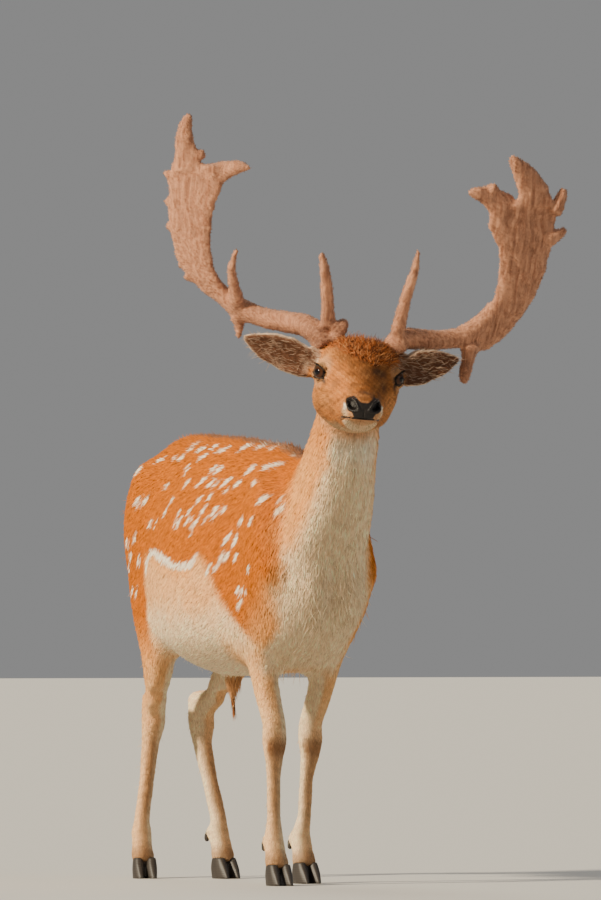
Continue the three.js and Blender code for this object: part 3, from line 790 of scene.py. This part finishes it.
skin = add_piece("skin", skin_mesh)
skin_mesh.shade_smooth()
deer = to_deer(places(skin_mesh))
head = to_head(deer)
add_tint(skin_mesh, markings_and_shade(deer, head, facings(skin_mesh)) * 0.82)
add_values(skin_mesh, "bare", np.maximum(bare_nose(head), lid_black(head)))

hide, nodes, links, shader = new_material("hide")
tint = attribute_node(nodes, "tint")
bare_part = attribute_node(nodes, "bare")
own = new_node(nodes, "TexCoord")
hair = new_node(nodes, "TexNoise", Scale=520, Detail=3)
grain = new_node(nodes, "TexVoronoi", Scale=620)
height = new_node(nodes, "Mix")
relief = new_node(nodes, "Bump", Strength=0.6, Distance=0.0009)
shine = new_node(nodes, "MapRange", To_Min=0.75, To_Max=0.42)
wire(
    links,
    (own, "Object", hair, "Vector"),
    (own, "Object", grain, "Vector"),
    (bare_part, "Fac", height, "Factor"),
    (hair, "Fac", height, "A"),
    (grain, "Distance", height, "B"),
    (height, "Result", relief, "Height"),
    (relief, "Normal", shader, "Normal"),
    (tint, "Color", shader, "Base Color"),
)
shader.inputs["Specular IOR Level"].default_value = 0.3
wire(
    links,
    (bare_part, "Fac", shine, "Value"),
    (shine, "Result", shader, "Roughness"),
)
skin_mesh.materials.append(hide)
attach(skin, "root")
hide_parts(*FLESH, *[node for node in HEAD_FLESH if not node.startswith("eye")])


# ---- Short coat: the hair over the whole body ----
# Fine flat tufts that overlap like thatch and lie with the hair: back along the trunk, down the
# legs and from the nose to the nape. They are shortest on the face and feet. Each is a closed
# sliver of four faces, its root sunk in the hide.
def unwrapped(mesh):
    """Lays the hide out flat and returns the place of every face corner, three to a face."""
    holder = add_piece("flat_hide", mesh)
    bpy.context.view_layer.objects.active = holder
    holder.select_set(True)
    mesh.uv_layers.new(name="OFBake")
    bpy.ops.object.mode_set(mode="EDIT")
    bpy.ops.mesh.select_all(action="SELECT")
    bpy.ops.uv.smart_project(angle_limit=math.radians(72), island_margin=0.002)
    bpy.ops.object.mode_set(mode="OBJECT")
    uv = np.empty(len(mesh.loops) * 2)
    mesh.uv_layers["OFBake"].data.foreach_get("uv", uv)
    bpy.data.objects.remove(holder)
    return uv.reshape(-1, 3, 2)


def ground_of(mesh):
    """What hair grows from: the corners of each face, their places and facings, and the map."""
    flat = unwrapped(mesh)
    ids = np.empty(len(mesh.loops), int)
    mesh.loops.foreach_get("vertex_index", ids)
    ids = ids.reshape(-1, 3)
    return places(mesh)[ids], facings(mesh)[ids], flat


hide_ground = ground_of(skin_mesh)
face_middle, face_facing = hide_ground[0].mean(1), hide_ground[1].mean(1)


def laid_flat(way, facing):
    """Directions with their part along the facing taken out, one long."""
    way = way - np.sum(way * facing, 1)[:, None] * facing
    return way / np.maximum(np.linalg.norm(way, axis=1), 1e-6)[:, None]


def lie_of_hair(deer, head, facing):
    """Which way the hair lies on the hide, as directions along the surface."""
    x, y, z = deer.T
    side = np.where(x < 0, -1, 1)
    slope = steepness(deer)
    way = np.column_stack((0 * x, np.cos(slope), -np.sin(slope)))

    def turn_to(new_way, cover):
        nonlocal way
        way = way + cover[:, None] * (np.asarray(new_way) - way)

    on_leg = np.maximum(ramp(z, 385, 350), ramp(z, 520, 440) * ramp(np.abs(y - 20), 170, 210))
    on_leg *= ramp(facing[:, 2], -0.75, -0.45)
    turn_to((0, 0.06, -1), on_leg)
    turn_to((0, 0.42, -0.9), ramp(y, -345, -390) * ramp(z, 560, 620))
    breast = ramp(y, -250, -300) * ramp(z, 620, 560) * ramp(z, 400, 440)
    turn_to(np.column_stack((0.12 * side, 0.30 + 0 * x, -0.95 + 0 * x)), breast)
    turn_to((0, 0.05, -1), ramp(y, 392, 402))
    on_head = ramp(head_reach(head), 128, 108)
    hx, hy, hz = head.T
    face_way = np.column_stack((0.006 * hx, 0.9 + 0 * hx, 0.25 - 0.5 * ramp(hz, 0, -50)))
    turn_to(face_way @ head_turn.T, on_head)
    on_ear = ear_part(head)
    ear_way = np.column_stack((np.sign(hx), 0.1 + 0 * hx, 0.28 + 0 * hx))
    turn_to(ear_way @ head_turn.T, on_ear)
    return laid_flat(way, facing)


def hair_length(deer, head):
    """How long the hair is, in millimetres."""
    x, y, z = deer.T
    long = 15.0 - 7.5 * ramp(z, 440, 330) - 2.0 * ramp(z, 160, 80)
    long += 4.5 * near(deer, (0, -390, 700), (110, 120, 190))
    long += 2.5 * ramp(z, 800, 830) + 2.0 * ramp(y, 340, 380)
    hx, hy, hz = head.T
    on_head = ramp(head_reach(head), 150, 112)
    face_long = 4.2 + 4.5 * ramp(hy, -90, 40) + 5 * near(head, (0, 46, 62), (56, 40, 36))
    long += on_head * (face_long - long)
    return long + ear_part(head) * (6.0 - long)


def rooted(ground, chance, seed):
    """Scatters roots over a surface, so many to a square millimetre as the chance per face gives."""
    dice = np.random.default_rng(seed)
    a, b, c = ground[0].transpose(1, 0, 2)
    area = np.linalg.norm(np.cross(b - a, c - a), axis=1) * 0.5e6
    wanted = area * chance
    count = np.floor(wanted + dice.random(len(wanted))).astype(int)
    face = np.repeat(np.arange(len(count)), count)
    u, v = dice.random((2, len(face)))
    over = u + v > 1
    u[over], v[over] = 1 - u[over], 1 - v[over]
    shares = np.column_stack((1 - u - v, u, v))
    root, facing, patch = (np.einsum("nk,nkj->nj", shares, part[face]) for part in ground)
    facing /= np.linalg.norm(facing, axis=1)[:, None]
    return root, facing, patch, dice


fur, nodes, links, shader = new_material("fur")
tint = attribute_node(nodes, "tint")
wire(links, (tint, "Color", shader, "Base Color"))
shader.inputs["Roughness"].default_value = 0.62
shader.inputs["Specular IOR Level"].default_value = 0.10
shader.inputs["Sheen Weight"].default_value = 0.02
shader.inputs["Sheen Roughness"].default_value = 0.45


def add_hair(name, slot, finish, faces_of_one, corners, normals, colours, patches):
    """A piece of coat: many hairs alike in form, each with its own corners, shading and patch."""
    each = corners.shape[1]
    faces = (np.arange(len(corners))[:, None, None] * each + faces_of_one).reshape(-1, 3)
    mesh = bpy.data.meshes.new(name)
    mesh.vertices.add(len(corners) * each)
    mesh.vertices.foreach_set("co", corners.ravel())
    mesh.loops.add(faces.size)
    mesh.loops.foreach_set("vertex_index", faces.ravel())
    mesh.polygons.add(len(faces))
    mesh.polygons.foreach_set("loop_start", np.arange(len(faces)) * 3)
    mesh.polygons.foreach_set("loop_total", np.full(len(faces), 3))
    mesh.update(calc_edges=True)
    mesh.shade_smooth()
    add_tint(mesh, colours.reshape(-1, 3))
    patch = mesh.uv_layers.new(name="OFBake")
    patch.data.foreach_set("uv", patches[:, faces_of_one].ravel())
    mesh.normals_split_custom_set_from_vertices(normals.reshape(-1, 3))
    mesh.materials.append(finish)
    piece = add_piece(name, mesh)
    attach(piece, "root")
    return piece


PATCH = 0.003
TUFT_FACES = np.array(((0, 2, 1), (0, 3, 2), (1, 2, 3), (0, 1, 3)))
# where each corner of a tuft lies in its patch of the map: two roots, the ridge and the tip
TUFT_PATCH = np.array(((-0.5, -0.5), (0.5, -0.5), (0.2, 0.1), (0.0, 0.5))) * PATCH


def tuft_pieces(root, facing, flat, way, colour, long, wide, lift, sway, dice):
    """Corners, shading, colours and patches of one tuft on each root."""
    across = np.cross(facing, way)
    angle = dice.normal(size=len(root)) * sway
    way = way * np.cos(angle)[:, None] + across * np.sin(angle)[:, None]
    across = np.cross(facing, way)
    long = (long * dice.uniform(0.72, 1.2, len(root)) / 1000)[:, None]
    wide = (wide * dice.uniform(0.8, 1.25, len(root)) / 1000)[:, None]
    rise = np.sin(lift * dice.uniform(0.5, 1.5, len(root)))[:, None]
    sunk = root - facing * 0.0009
    ridge = root + way * long * 0.42 + facing * (long * rise * 0.62 + wide * 0.32)
    tip = root + way * long + facing * long * rise
    corners = np.stack((sunk - across * wide / 2, sunk + across * wide / 2, ridge, tip), 1)
    normals = np.stack(
        (
            facing - 0.55 * across - 0.15 * way,
            facing + 0.55 * across - 0.15 * way,
            facing + 0.05 * way,
            facing + 0.30 * way,
        ),
        1,
    )
    normals /= np.linalg.norm(normals, axis=2)[:, :, None]
    # hairs differ a little from their neighbours, in clumps, and are darker at the root
    clump = 1 + 0.15 * wander(root * 1000, 7, 3) + dice.normal(size=len(root)) * 0.15
    colour = colour * np.clip(clump, 0.6, 1.4)[:, None]
    warm = 1 + dice.normal(size=(len(root), 1)) * (0.02, 0.04, 0.07)
    colour = np.clip(colour * warm, 0.004, 0.95)
    shades = np.stack((colour * 0.74, colour * 0.74, colour * 0.98, colour * 1.10), 1)
    patches = flat[:, None] + TUFT_PATCH
    return corners, normals, shades, patches


def bare_share(deer, head):
    """Where no hair grows: the nose, the lips and the edges of the lids, and behind the lids."""
    inside = np.zeros(len(head))
    for side in EYE_CENTRES:
        inside = np.maximum(inside, opening(head, side) < 1.12)
    return np.clip(bare_nose(head) * 1.6 + inside, 0, 1)


WIDTH_SHARE, COVER = 0.14, 2.0


def tuft_width(long):
    return 0.35 + WIDTH_SHARE * long * 0.8


deer = to_deer(face_middle)
head = to_head(deer)
long = hair_length(deer, head)
wide = tuft_width(long)
thick = COVER / (0.5 * long * wide)
thick *= 1 - 0.35 * ramp(long, 9, 5)
thick *= 1 - bare_share(deer, head)
thick *= ramp(deer[:, 2], 34, 40)
root, facing, flat, dice = rooted(hide_ground, thick, 31)
deer = to_deer(root)
head = to_head(deer)
long = hair_length(deer, head)
keep = dice.random(len(root)) > bare_share(deer, head)
root, facing, flat, deer, head, long = (part[keep] for part in (root, facing, flat, deer, head, long))
wide = tuft_width(long)
on_breast = near(deer, (0, -390, 640), (120, 90, 160))
lift = 0.17 + 0.10 * ramp(deer[:, 2], 806, 836) + 0.05 * on_breast
sway = 0.14 + 0.10 * on_breast
sway += 0.35 * near(head, (0, 44, 62), (56, 40, 36))
way = lie_of_hair(deer, head, facing)
colour = markings_and_shade(deer, head, facing)
tufts = tuft_pieces(root, facing, flat, way, colour, long, wide, lift, sway, dice)

# The coat is parted along the body into pieces of a like size, each under 200,000 faces.
TUFTS_PER_PIECE = 48000
order = np.argsort(deer[:, 1], kind="stable")
for number, chosen in enumerate(np.array_split(order, math.ceil(len(order) / TUFTS_PER_PIECE))):
    add_hair(f"coat_{number + 1}", "coat", fur, TUFT_FACES, *(part[chosen] for part in tufts))


# ---- Long hair ----
# Locks that stand clear of the short coat: curls between the antlers, hair in the ears, on the
# breast, down the back, on the tail and on the sheath, with sparse guard hairs along the outline.
def strands(root, facing, flat, way, colour, long, wide, droop, curl, dice):
    """Bent three-sided locks that taper to a tip; way is where they point as they leave the hide."""
    count = len(root)
    long = np.broadcast_to(long, count) * dice.uniform(0.7, 1.2, count) / 1000
    wide = np.broadcast_to(wide, count) * dice.uniform(0.8, 1.2, count) / 1000
    way = way / np.linalg.norm(way, axis=1)[:, None]
    bow = np.cross(way, facing) * dice.normal(size=(count, 1)) + dice.normal(size=(count, 3)) * 0.4
    side_way = np.cross(facing, way)
    side_way /= np.maximum(np.linalg.norm(side_way, axis=1), 1e-6)[:, None]
    out_way = np.cross(way, side_way)
    rings, shades, normals = [], [], []
    for share, girth in ((0, 1.0), (0.38, 0.85), (0.74, 0.5)):
        middle = root - facing * 0.001 + way * (long * share)[:, None]
        middle = middle + bow * (curl * long * share * share)[:, None]
        middle[:, 2] -= droop * long * share * share
        for turn in (0.0, 2.1, 4.2):
            across = side_way * math.cos(turn) + out_way * math.sin(turn)
            rings.append(middle + across * (wide * girth / 2)[:, None])
            shades.append(colour * (0.66 + 0.42 * share))
            normals.append(facing * 0.9 + across * 0.8)
    tip = root + way * long[:, None] + bow * (curl * long)[:, None]
    tip[:, 2] -= droop * long
    rings.append(tip)
    shades.append(colour * 1.1)
    normals.append(facing + way * 0.4)
    corners, shades, normals = (np.stack(part, 1) for part in (rings, shades, normals))
    normals /= np.linalg.norm(normals, axis=2)[:, :, None]
    return corners, normals, np.clip(shades, 0.003, 0.95), flat[:, None] + STRAND_PATCH


STRAND_FACES = [(0, 2, 1)]
for level in (0, 3):
    for k in range(3):
        n = (k + 1) % 3
        STRAND_FACES += [(level + k, level + n, level + 3 + k), (level + n, level + 3 + n, level + 3 + k)]
STRAND_FACES += [(6 + k, 6 + (k + 1) % 3, 9) for k in range(3)]
STRAND_FACES = np.array(STRAND_FACES)
# each ring of a lock lies one above another in its patch of the map
STRAND_PATCH = np.array(
    [(across - 0.5, level - 0.5) for level in (0, 0.35, 0.7) for across in (0, 0.5, 1)] + [(0, 0.5)]
) * PATCH


def add_strands(name, slot, batches):
    joined = [np.concatenate(part) for part in zip(*batches)]
    add_hair(name, slot, fur, STRAND_FACES, *joined)


def locks(cover, thickness, seed, long, wide, lift, droop, curl, tone=None, spread=0.2, way=None):
    """Locks over the part of the hide where cover is above 0, so many to a square millimetre.

    long and wide are in millimetres; without a tone or a way, they have the coat's."""
    root, facing, flat, dice = rooted(hide_ground, cover * thickness, seed)
    deer = to_deer(root)
    head = to_head(deer)
    flow = lie_of_hair(deer, head, facing) if way is None else way(deer, head, facing)
    flow = flow + dice.normal(size=flow.shape) * spread + facing * math.tan(lift)
    colour = markings_and_shade(deer, head, facing) if tone is None else np.tile(np.array(tone), (len(root), 1))
    colour = colour * (1 + dice.normal(size=(len(root), 1)) * 0.14)
    return strands(root, facing, flat, flow, colour, long, wide, droop, curl, dice)


deer = to_deer(face_middle)
head = to_head(deer)
x, y, z = deer.T
hx, hy, hz = head.T

# the tail: black above, white below
on_tail = ramp(y, 403, 410) * ramp(np.abs(x), 36, 30)
tail_top = on_tail * (face_facing[:, 1] > -0.25)
tail_hair = [
    locks(tail_top, 0.16, 41, 34, 2.0, 0.20, 0.3, 0.10, (0.045, 0.030, 0.024)),
    locks(on_tail - tail_top, 0.16, 42, 36, 2.0, 0.25, 0.3, 0.10, (0.84, 0.76, 0.64)),
]
add_strands("tail_hair", "long_hair", tail_hair)

# the brush of the sheath: hair that hangs to one point, tan above and rufous at its tip
on_sheath = ramp(z, 394, 386) * ramp(np.abs(x), 30, 24) * ramp(np.abs(y - 74), 34, 26)
brush = corners_of("sheath_tuft")
brush_tip = brush[brush[:, 2].argmin()] + (0, -3, -26)


def hang(deer, head, facing):
    return brush_tip - deer


sheath_brush = [
    locks(on_sheath, 0.24, 43, 30, 1.3, 0.0, 0.0, 0.05, (0.66, 0.33, 0.14), 6, hang),
    locks(on_sheath * ramp(z, 366, 350), 0.4, 44, 27, 1.2, 0.0, 0.0, 0.05, (0.70, 0.24, 0.06), 4, hang),
]

# breast and belly: soft longer hair that parts into curls
on_breast = near(deer, (0, -372, 545), (95, 90, 95)) * ramp(face_facing[:, 1], 0.3, -0.2)
between_legs = near(deer, (0, -250, 430), (60, 80, 40)) * 0.7
breast_hair = locks(
    np.maximum(on_breast, between_legs), 0.045, 45, 26, 1.5, 0.24, 0.25, 0.30, None, 0.30
)
# the ridge of the back, and the croup
on_ridge = ramp(np.abs(x), 34, 16) * ramp(z, 800, 815) * ramp(y, 395, 370) * ramp(y, -290, -260)
ridge_hair = locks(on_ridge, 0.075, 46, 17, 1.3, 0.42, 0.0, 0.14, None, 0.22)
# guard hairs along the outline
guard = 0.5 * ramp(z, 380, 420) + 0.8 * ramp(y, 300, 350) * ramp(z, 120, 200)
guard = np.clip(guard * ramp(y, -420, -400), 0, 1) * (1 - on_tail)
guard_hair = locks(guard, 0.0022, 47, 17, 0.6, 0.55, 0.0, 0.2, None, 0.3)
legs_back = ramp(face_facing[:, 1], 0.3, 0.7) * ramp(z, 560, 480) * ramp(z, 60, 90)
fringe = locks(legs_back, 0.035, 48, 11, 1.0, 0.38, 0.0, 0.12, None, 0.2)
add_strands("long_coat", "long_hair", [breast_hair, ridge_hair, guard_hair, fringe])
add_strands("sheath_brush", "long_hair", sheath_brush)

# the crown: a thick curly cap between the antlers, down on to the forehead and round the pedicles
crown = ramp(hz - crown_edge(head), -3, 5) * ramp(hy, 84, 60) * ramp(np.abs(hx), 74, 66)
crown_hair = [
    locks(crown, 0.24, 51, 14, 1.7, 0.42, 0.1, 0.75, (0.40, 0.115, 0.028), 0.5),
    locks(crown, 0.10, 52, 15, 1.5, 0.50, 0.1, 0.9, (0.12, 0.038, 0.016), 0.6),
    locks(crown, 0.07, 53, 14, 1.4, 0.55, 0.1, 0.9, (0.62, 0.27, 0.10), 0.6),
]
# ears: pale hair springing from the rims across the dark hollow
on_ear = ear_part(head)
head_facing = face_facing @ head_turn
inner = on_ear * ramp(head_facing[:, 1], -0.1, -0.4)
rims = on_ear * ramp(np.abs(head_facing[:, 1]), 0.7, 0.4)


def across_ear(deer, head, facing):
    way = np.column_stack(
        (np.sign(head[:, 0]) * 0.9, -0.35 + 0 * head[:, 0], 0.15 * np.sign(52 - head[:, 2]))
    )
    return way @ head_turn.T


ear_hair = [
    locks(inner, 0.026, 54, 19, 0.8, 0.08, 0.0, 0.14, (0.58, 0.41, 0.29), 0.35, across_ear),
    locks(inner, 0.05, 55, 12, 0.9, 0.06, 0.0, 0.14, (0.22, 0.09, 0.05), 0.25, across_ear),
    locks(rims, 0.10, 56, 7, 0.9, 0.3, 0.0, 0.1, (0.72, 0.53, 0.37), 0.3),
]
# whiskers on the muzzle and chin
muzzle = ramp(hy, -96, -112) * ramp(hz, -34, -48) * (1 - bare_nose(head))
whiskers = locks(muzzle, 0.006, 57, 22, 0.45, 0.9, 0.15, 0.15, (0.05, 0.035, 0.03), 0.4)
# lashes: a dark fringe along each upper lid
LASHES = 110
lash_batches = []
for side, centre in EYE_CENTRES.items():
    gaze, front_way, up_way = eye_ways[side]
    dice = np.random.default_rng(60 + side)
    angle = np.radians(dice.uniform(-52, 58, LASHES))
    lift = np.radians(36 * np.sqrt(np.clip(1 - (np.degrees(angle) / 60) ** 2, 0, 1)) + 2)
    out = (
        np.cos(lift)[:, None] * (np.cos(angle)[:, None] * gaze + np.sin(angle)[:, None] * front_way)
        + np.sin(lift)[:, None] * up_way
    )
    aim = out * 0.75 + up_way * 0.15 - front_way * 0.45 + dice.normal(size=(LASHES, 3)) * 0.10
    root = from_head(centre + out * 18.3)
    middle = np.argmin(np.linalg.norm(face_middle - root[0], axis=1))
    flat = np.repeat(hide_ground[2][middle].mean(0)[None], LASHES, 0)
    black = np.tile(np.array((0.012, 0.009, 0.008)), (LASHES, 1))
    lash_batches.append(
        strands(root, out @ head_turn.T, flat, aim @ head_turn.T, black, 9, 0.5, 0.15, 0.1, dice)
    )
add_strands("head_hair", "coat", crown_hair + ear_hair + [whiskers] + lash_batches)


# ---- Eyes ----
# Two dark wet balls with a bulging cornea over a brown iris and a long level pupil. They sit in
# the sockets under the lids.
eye_finish, nodes, links, shader = new_material("wet_eye")
zone = attribute_node(nodes, "iris")
tones = new_node(nodes, "ValToRGB")
stops = tones.color_ramp.elements
stops[0].position, stops[0].color = 0.0, (0.004, 0.004, 0.006, 1)
stops[1].position, stops[1].color = 1.0, (0.012, 0.008, 0.007, 1)
for position, colour in (
    (0.34, (0.005, 0.004, 0.005, 1)),
    (0.40, (0.040, 0.015, 0.008, 1)),
    (0.66, (0.070, 0.026, 0.011, 1)),
    (0.80, (0.040, 0.016, 0.008, 1)),
    (0.88, (0.010, 0.007, 0.006, 1)),
):
    stops.new(position).color = colour
wire(
    links,
    (zone, "Fac", tones, "Fac"),
    (tones, "Color", shader, "Base Color"),
)
shader.inputs["Roughness"].default_value = 0.08
shader.inputs["Specular IOR Level"].default_value = 0.14
shader.inputs["Coat Weight"].default_value = 0.12
shader.inputs["Coat Roughness"].default_value = 0.02

for side, word in ((1, "left"), (-1, "right")):
    ball_form = bmesh.new()
    bmesh.ops.create_uvsphere(ball_form, u_segments=64, v_segments=48, radius=1)
    ball_mesh = mesh_from("eye_" + word, ball_form)
    gaze = gazes[side] / np.linalg.norm(gazes[side])
    level = np.cross((0, 0, 1), gaze)
    level /= np.linalg.norm(level)
    upright = np.cross(gaze, level)
    aim = places(ball_mesh)
    polar = np.arccos(np.clip(aim[:, 2], -1, 1))
    radius = EYE_RADIUS + 1.3 * np.exp(-((polar / 0.50) ** 2))
    iris = np.clip(polar / 1.0, 0, 1)
    pupil = np.hypot(aim[:, 0] / 0.46, aim[:, 1] / 0.27)
    iris = np.where(pupil < 1, 0.36 * pupil, np.maximum(iris, 0.37))
    turned = aim[:, :1] * level + aim[:, 1:2] * upright + aim[:, 2:] * gaze
    put(ball_mesh, from_head(EYE_CENTRES[side] + turned * radius[:, None]))
    add_values(ball_mesh, "iris", iris)
    ball_mesh.shade_smooth()
    ball_mesh.materials.append(eye_finish)
    eye = add_piece("eyeball_" + word, ball_mesh)
    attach(eye, "root")
    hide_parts("eye_" + word)


# ---- Antlers ----
# Palmate antlers in velvet: bone under a warm furred skin. The blunt tips are still growing, and
# veins run from the foot of each beam out over its palm.
ANTLER_NODES = {
    "right": ["beam", "palm", "brow_tine", "trez_tine", "hanging_tine"],
    "left": ["beam", "palm", "brow_tine", "hanging_tine"],
}
velvet, nodes, links, shader = new_material("antler_velvet")
own = new_node(nodes, "TexCoord")
tint = attribute_node(nodes, "tint")
along = attribute_node(nodes, "along")
mottle = new_node(nodes, "TexNoise", Scale=170, Detail=4)
patches = new_node(nodes, "MapRange", From_Min=0.44, From_Max=0.66)
stain = new_node(nodes, "Mix")
stain.data_type = "RGBA"
stain.blend_type = "MULTIPLY"
stain.inputs["B"].default_value = (0.64, 0.56, 0.52, 1)
fuzz = new_node(nodes, "TexNoise", Scale=900, Detail=2)
nap = new_node(nodes, "Bump", Strength=0.5, Distance=0.0012)
wire(
    links,
    (along, "Vector", mottle, "Vector"),
    (own, "Object", fuzz, "Vector"),
    (mottle, "Fac", patches, "Value"),
    (patches, "Result", stain, "Factor"),
    (tint, "Color", stain, "A"),
    (stain, "Result", shader, "Base Color"),
    (fuzz, "Fac", nap, "Height"),
    (nap, "Normal", shader, "Normal"),
)
shader.inputs["Roughness"].default_value = 0.85
shader.inputs["Sheen Weight"].default_value = 0.12
shader.inputs["Sheen Roughness"].default_value = 0.5


NAP_DENSITY = 0.11
STUNTED_POINT = (
    ((-44, 44, 62), 0.013),
    ((-40, 45, 72), 0.012),
    ((-36, 46, 81), 0.0115),
    ((-34, 46, 88), 0.0105),
    ((-50, 44, 83), 0.011),
)
for word, parts in ANTLER_NODES.items():
    names = [f"antler_{word}_{part}" for part in parts]
    antler_form = grown_copies(names, 0.0008)
    if word == "right":
        # a stunted point at the foot of the beam
        for knob, radius in STUNTED_POINT:
            add_ball(antler_form, knob, radius)
    antler_mesh = melted("antler_" + word, antler_form, 0.003)
    relax(antler_mesh, 0.8, 12)
    spots = to_head(to_deer(places(antler_mesh)))
    # veins: ridges that run up from the foot, so they change fast across the antler and slowly up it
    foot = spots[np.argmin(spots[:, 2])]
    out = spots - foot
    reach = np.linalg.norm(out, axis=1)
    spread = np.column_stack((out[:, 1] / (reach + 60), out[:, 2] / (reach + 60)))
    fan = np.arctan2(spread[:, 1], spread[:, 0]) * 260
    weave = wander(spots, 34, 5) * 9
    course = np.column_stack((fan + weave, out[:, 0] * 0.8, reach * 0.10))
    vein = np.abs(wander(course, 7.5, 6))
    ridge = np.exp(-((vein / 0.16) ** 2))
    lumps = wander(spots, 16, 7)
    rise = 1.0 * ridge + 0.6 * lumps
    push_out(antler_mesh, rise)
    pale, deep = np.array((0.66, 0.31, 0.17)), np.array((0.25, 0.11, 0.062))
    shade = np.clip(0.22 - 0.12 * lumps + 0.30 * (1 - ridge) * (vein > 0.4), 0, 1)
    foot_dark = ramp(reach, 90, 20) * 0.5
    shade = np.clip(shade + foot_dark, 0, 1)[:, None]
    add_tint(antler_mesh, pale * (1 - shade) + deep * shade)
    layer = antler_mesh.attributes.new("along", "FLOAT_VECTOR", "POINT")
    layer.data.foreach_set("vector", (course / 1000).ravel())
    antler_ground = ground_of(antler_mesh)
    antler_mesh.materials.append(velvet)
    antler_mesh.shade_smooth()
    antler = add_piece("antler_" + word, antler_mesh)
    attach(antler, "root")
    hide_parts(*names)
    # the nap of the velvet: short upright hairs that lean outwards along the antler
    chance = np.full(len(antler_ground[0]), NAP_DENSITY)
    root, facing, flat, dice = rooted(antler_ground, chance, 71)
    way = laid_flat(root - from_head(foot), facing)
    colour = pale * dice.uniform(0.42, 1.08, (len(root), 1))
    nap = tuft_pieces(
        root, facing, flat, way, colour, long=3.0, wide=0.55, lift=0.75, sway=0.5, dice=dice
    )
    add_hair("velvet_nap_" + word, "antler_velvet", fur, TUFT_FACES, *nap)


# ---- Hooves and dewclaws ----
# Eight cleaves of dark horn with faint growth rings, worn flat underneath, and two small dewclaws
# behind each fetlock.
horn, nodes, links, shader = new_material("hoof_horn")
own = new_node(nodes, "TexCoord")
rings = new_node(nodes, "TexWave", Scale=95, Distortion=3, Detail=2)
rings.bands_direction = "Z"
tones = new_node(nodes, "ValToRGB")
tones.color_ramp.elements[0].color = (0.026, 0.021, 0.018, 1)
tones.color_ramp.elements[1].color = (0.042, 0.034, 0.028, 1)
steps = new_node(nodes, "Bump", Strength=0.25, Distance=0.0005)
wire(
    links,
    (own, "Object", rings, "Vector"),
    (rings, "Fac", tones, "Fac"),
    (rings, "Fac", steps, "Height"),
    (tones, "Color", shader, "Base Color"),
    (steps, "Normal", shader, "Normal"),
)
shader.inputs["Roughness"].default_value = 0.5
HORN_NODES = [
    f"{kind}_{end}_{side}_{half}"
    for kind in ("hoof", "dewclaw")
    for end in ("front", "hind")
    for side in ("left", "right")
    for half in ("inner", "outer")
]
hoof_mesh = melted("hooves", grown_copies(HORN_NODES, 0), 0.0022)
relax(hoof_mesh, 0.7, 6)
co = places(hoof_mesh)
# each cleave narrows to its toe and draws in under the hair of the coronet
cleaves = [places(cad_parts[name].data) for name in HORN_NODES if name.startswith("hoof")]
middles = np.array([(cleave.max(0) + cleave.min(0)) / 2 for cleave in cleaves])
middle = middles[np.argmin(((co[:, None, :2] - middles[None, :, :2]) ** 2).sum(2), 1)]
off = co - middle
on_hoof = co[:, 2] < 0.05
toe = np.clip(-off[:, 1] / 0.030, 0, 1) ** 2 * on_hoof
top = np.clip((co[:, 2] - 0.016) / 0.024, 0, 1) ** 2 * on_hoof
co[:, 0] = middle[:, 0] + off[:, 0] * (1 - 0.42 * toe) * (1 - 0.18 * top)
co[:, 1] = middle[:, 1] + off[:, 1] * (1 - 0.15 * top)
co[:, 2] = np.where(co[:, 2] < 0.002, 0, co[:, 2])
put(hoof_mesh, co)
hoof_mesh.materials.append(horn)
hoof_mesh.shade_smooth()
hooves = add_piece("hooves", hoof_mesh)
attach(hooves, "root")
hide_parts(*HORN_NODES)
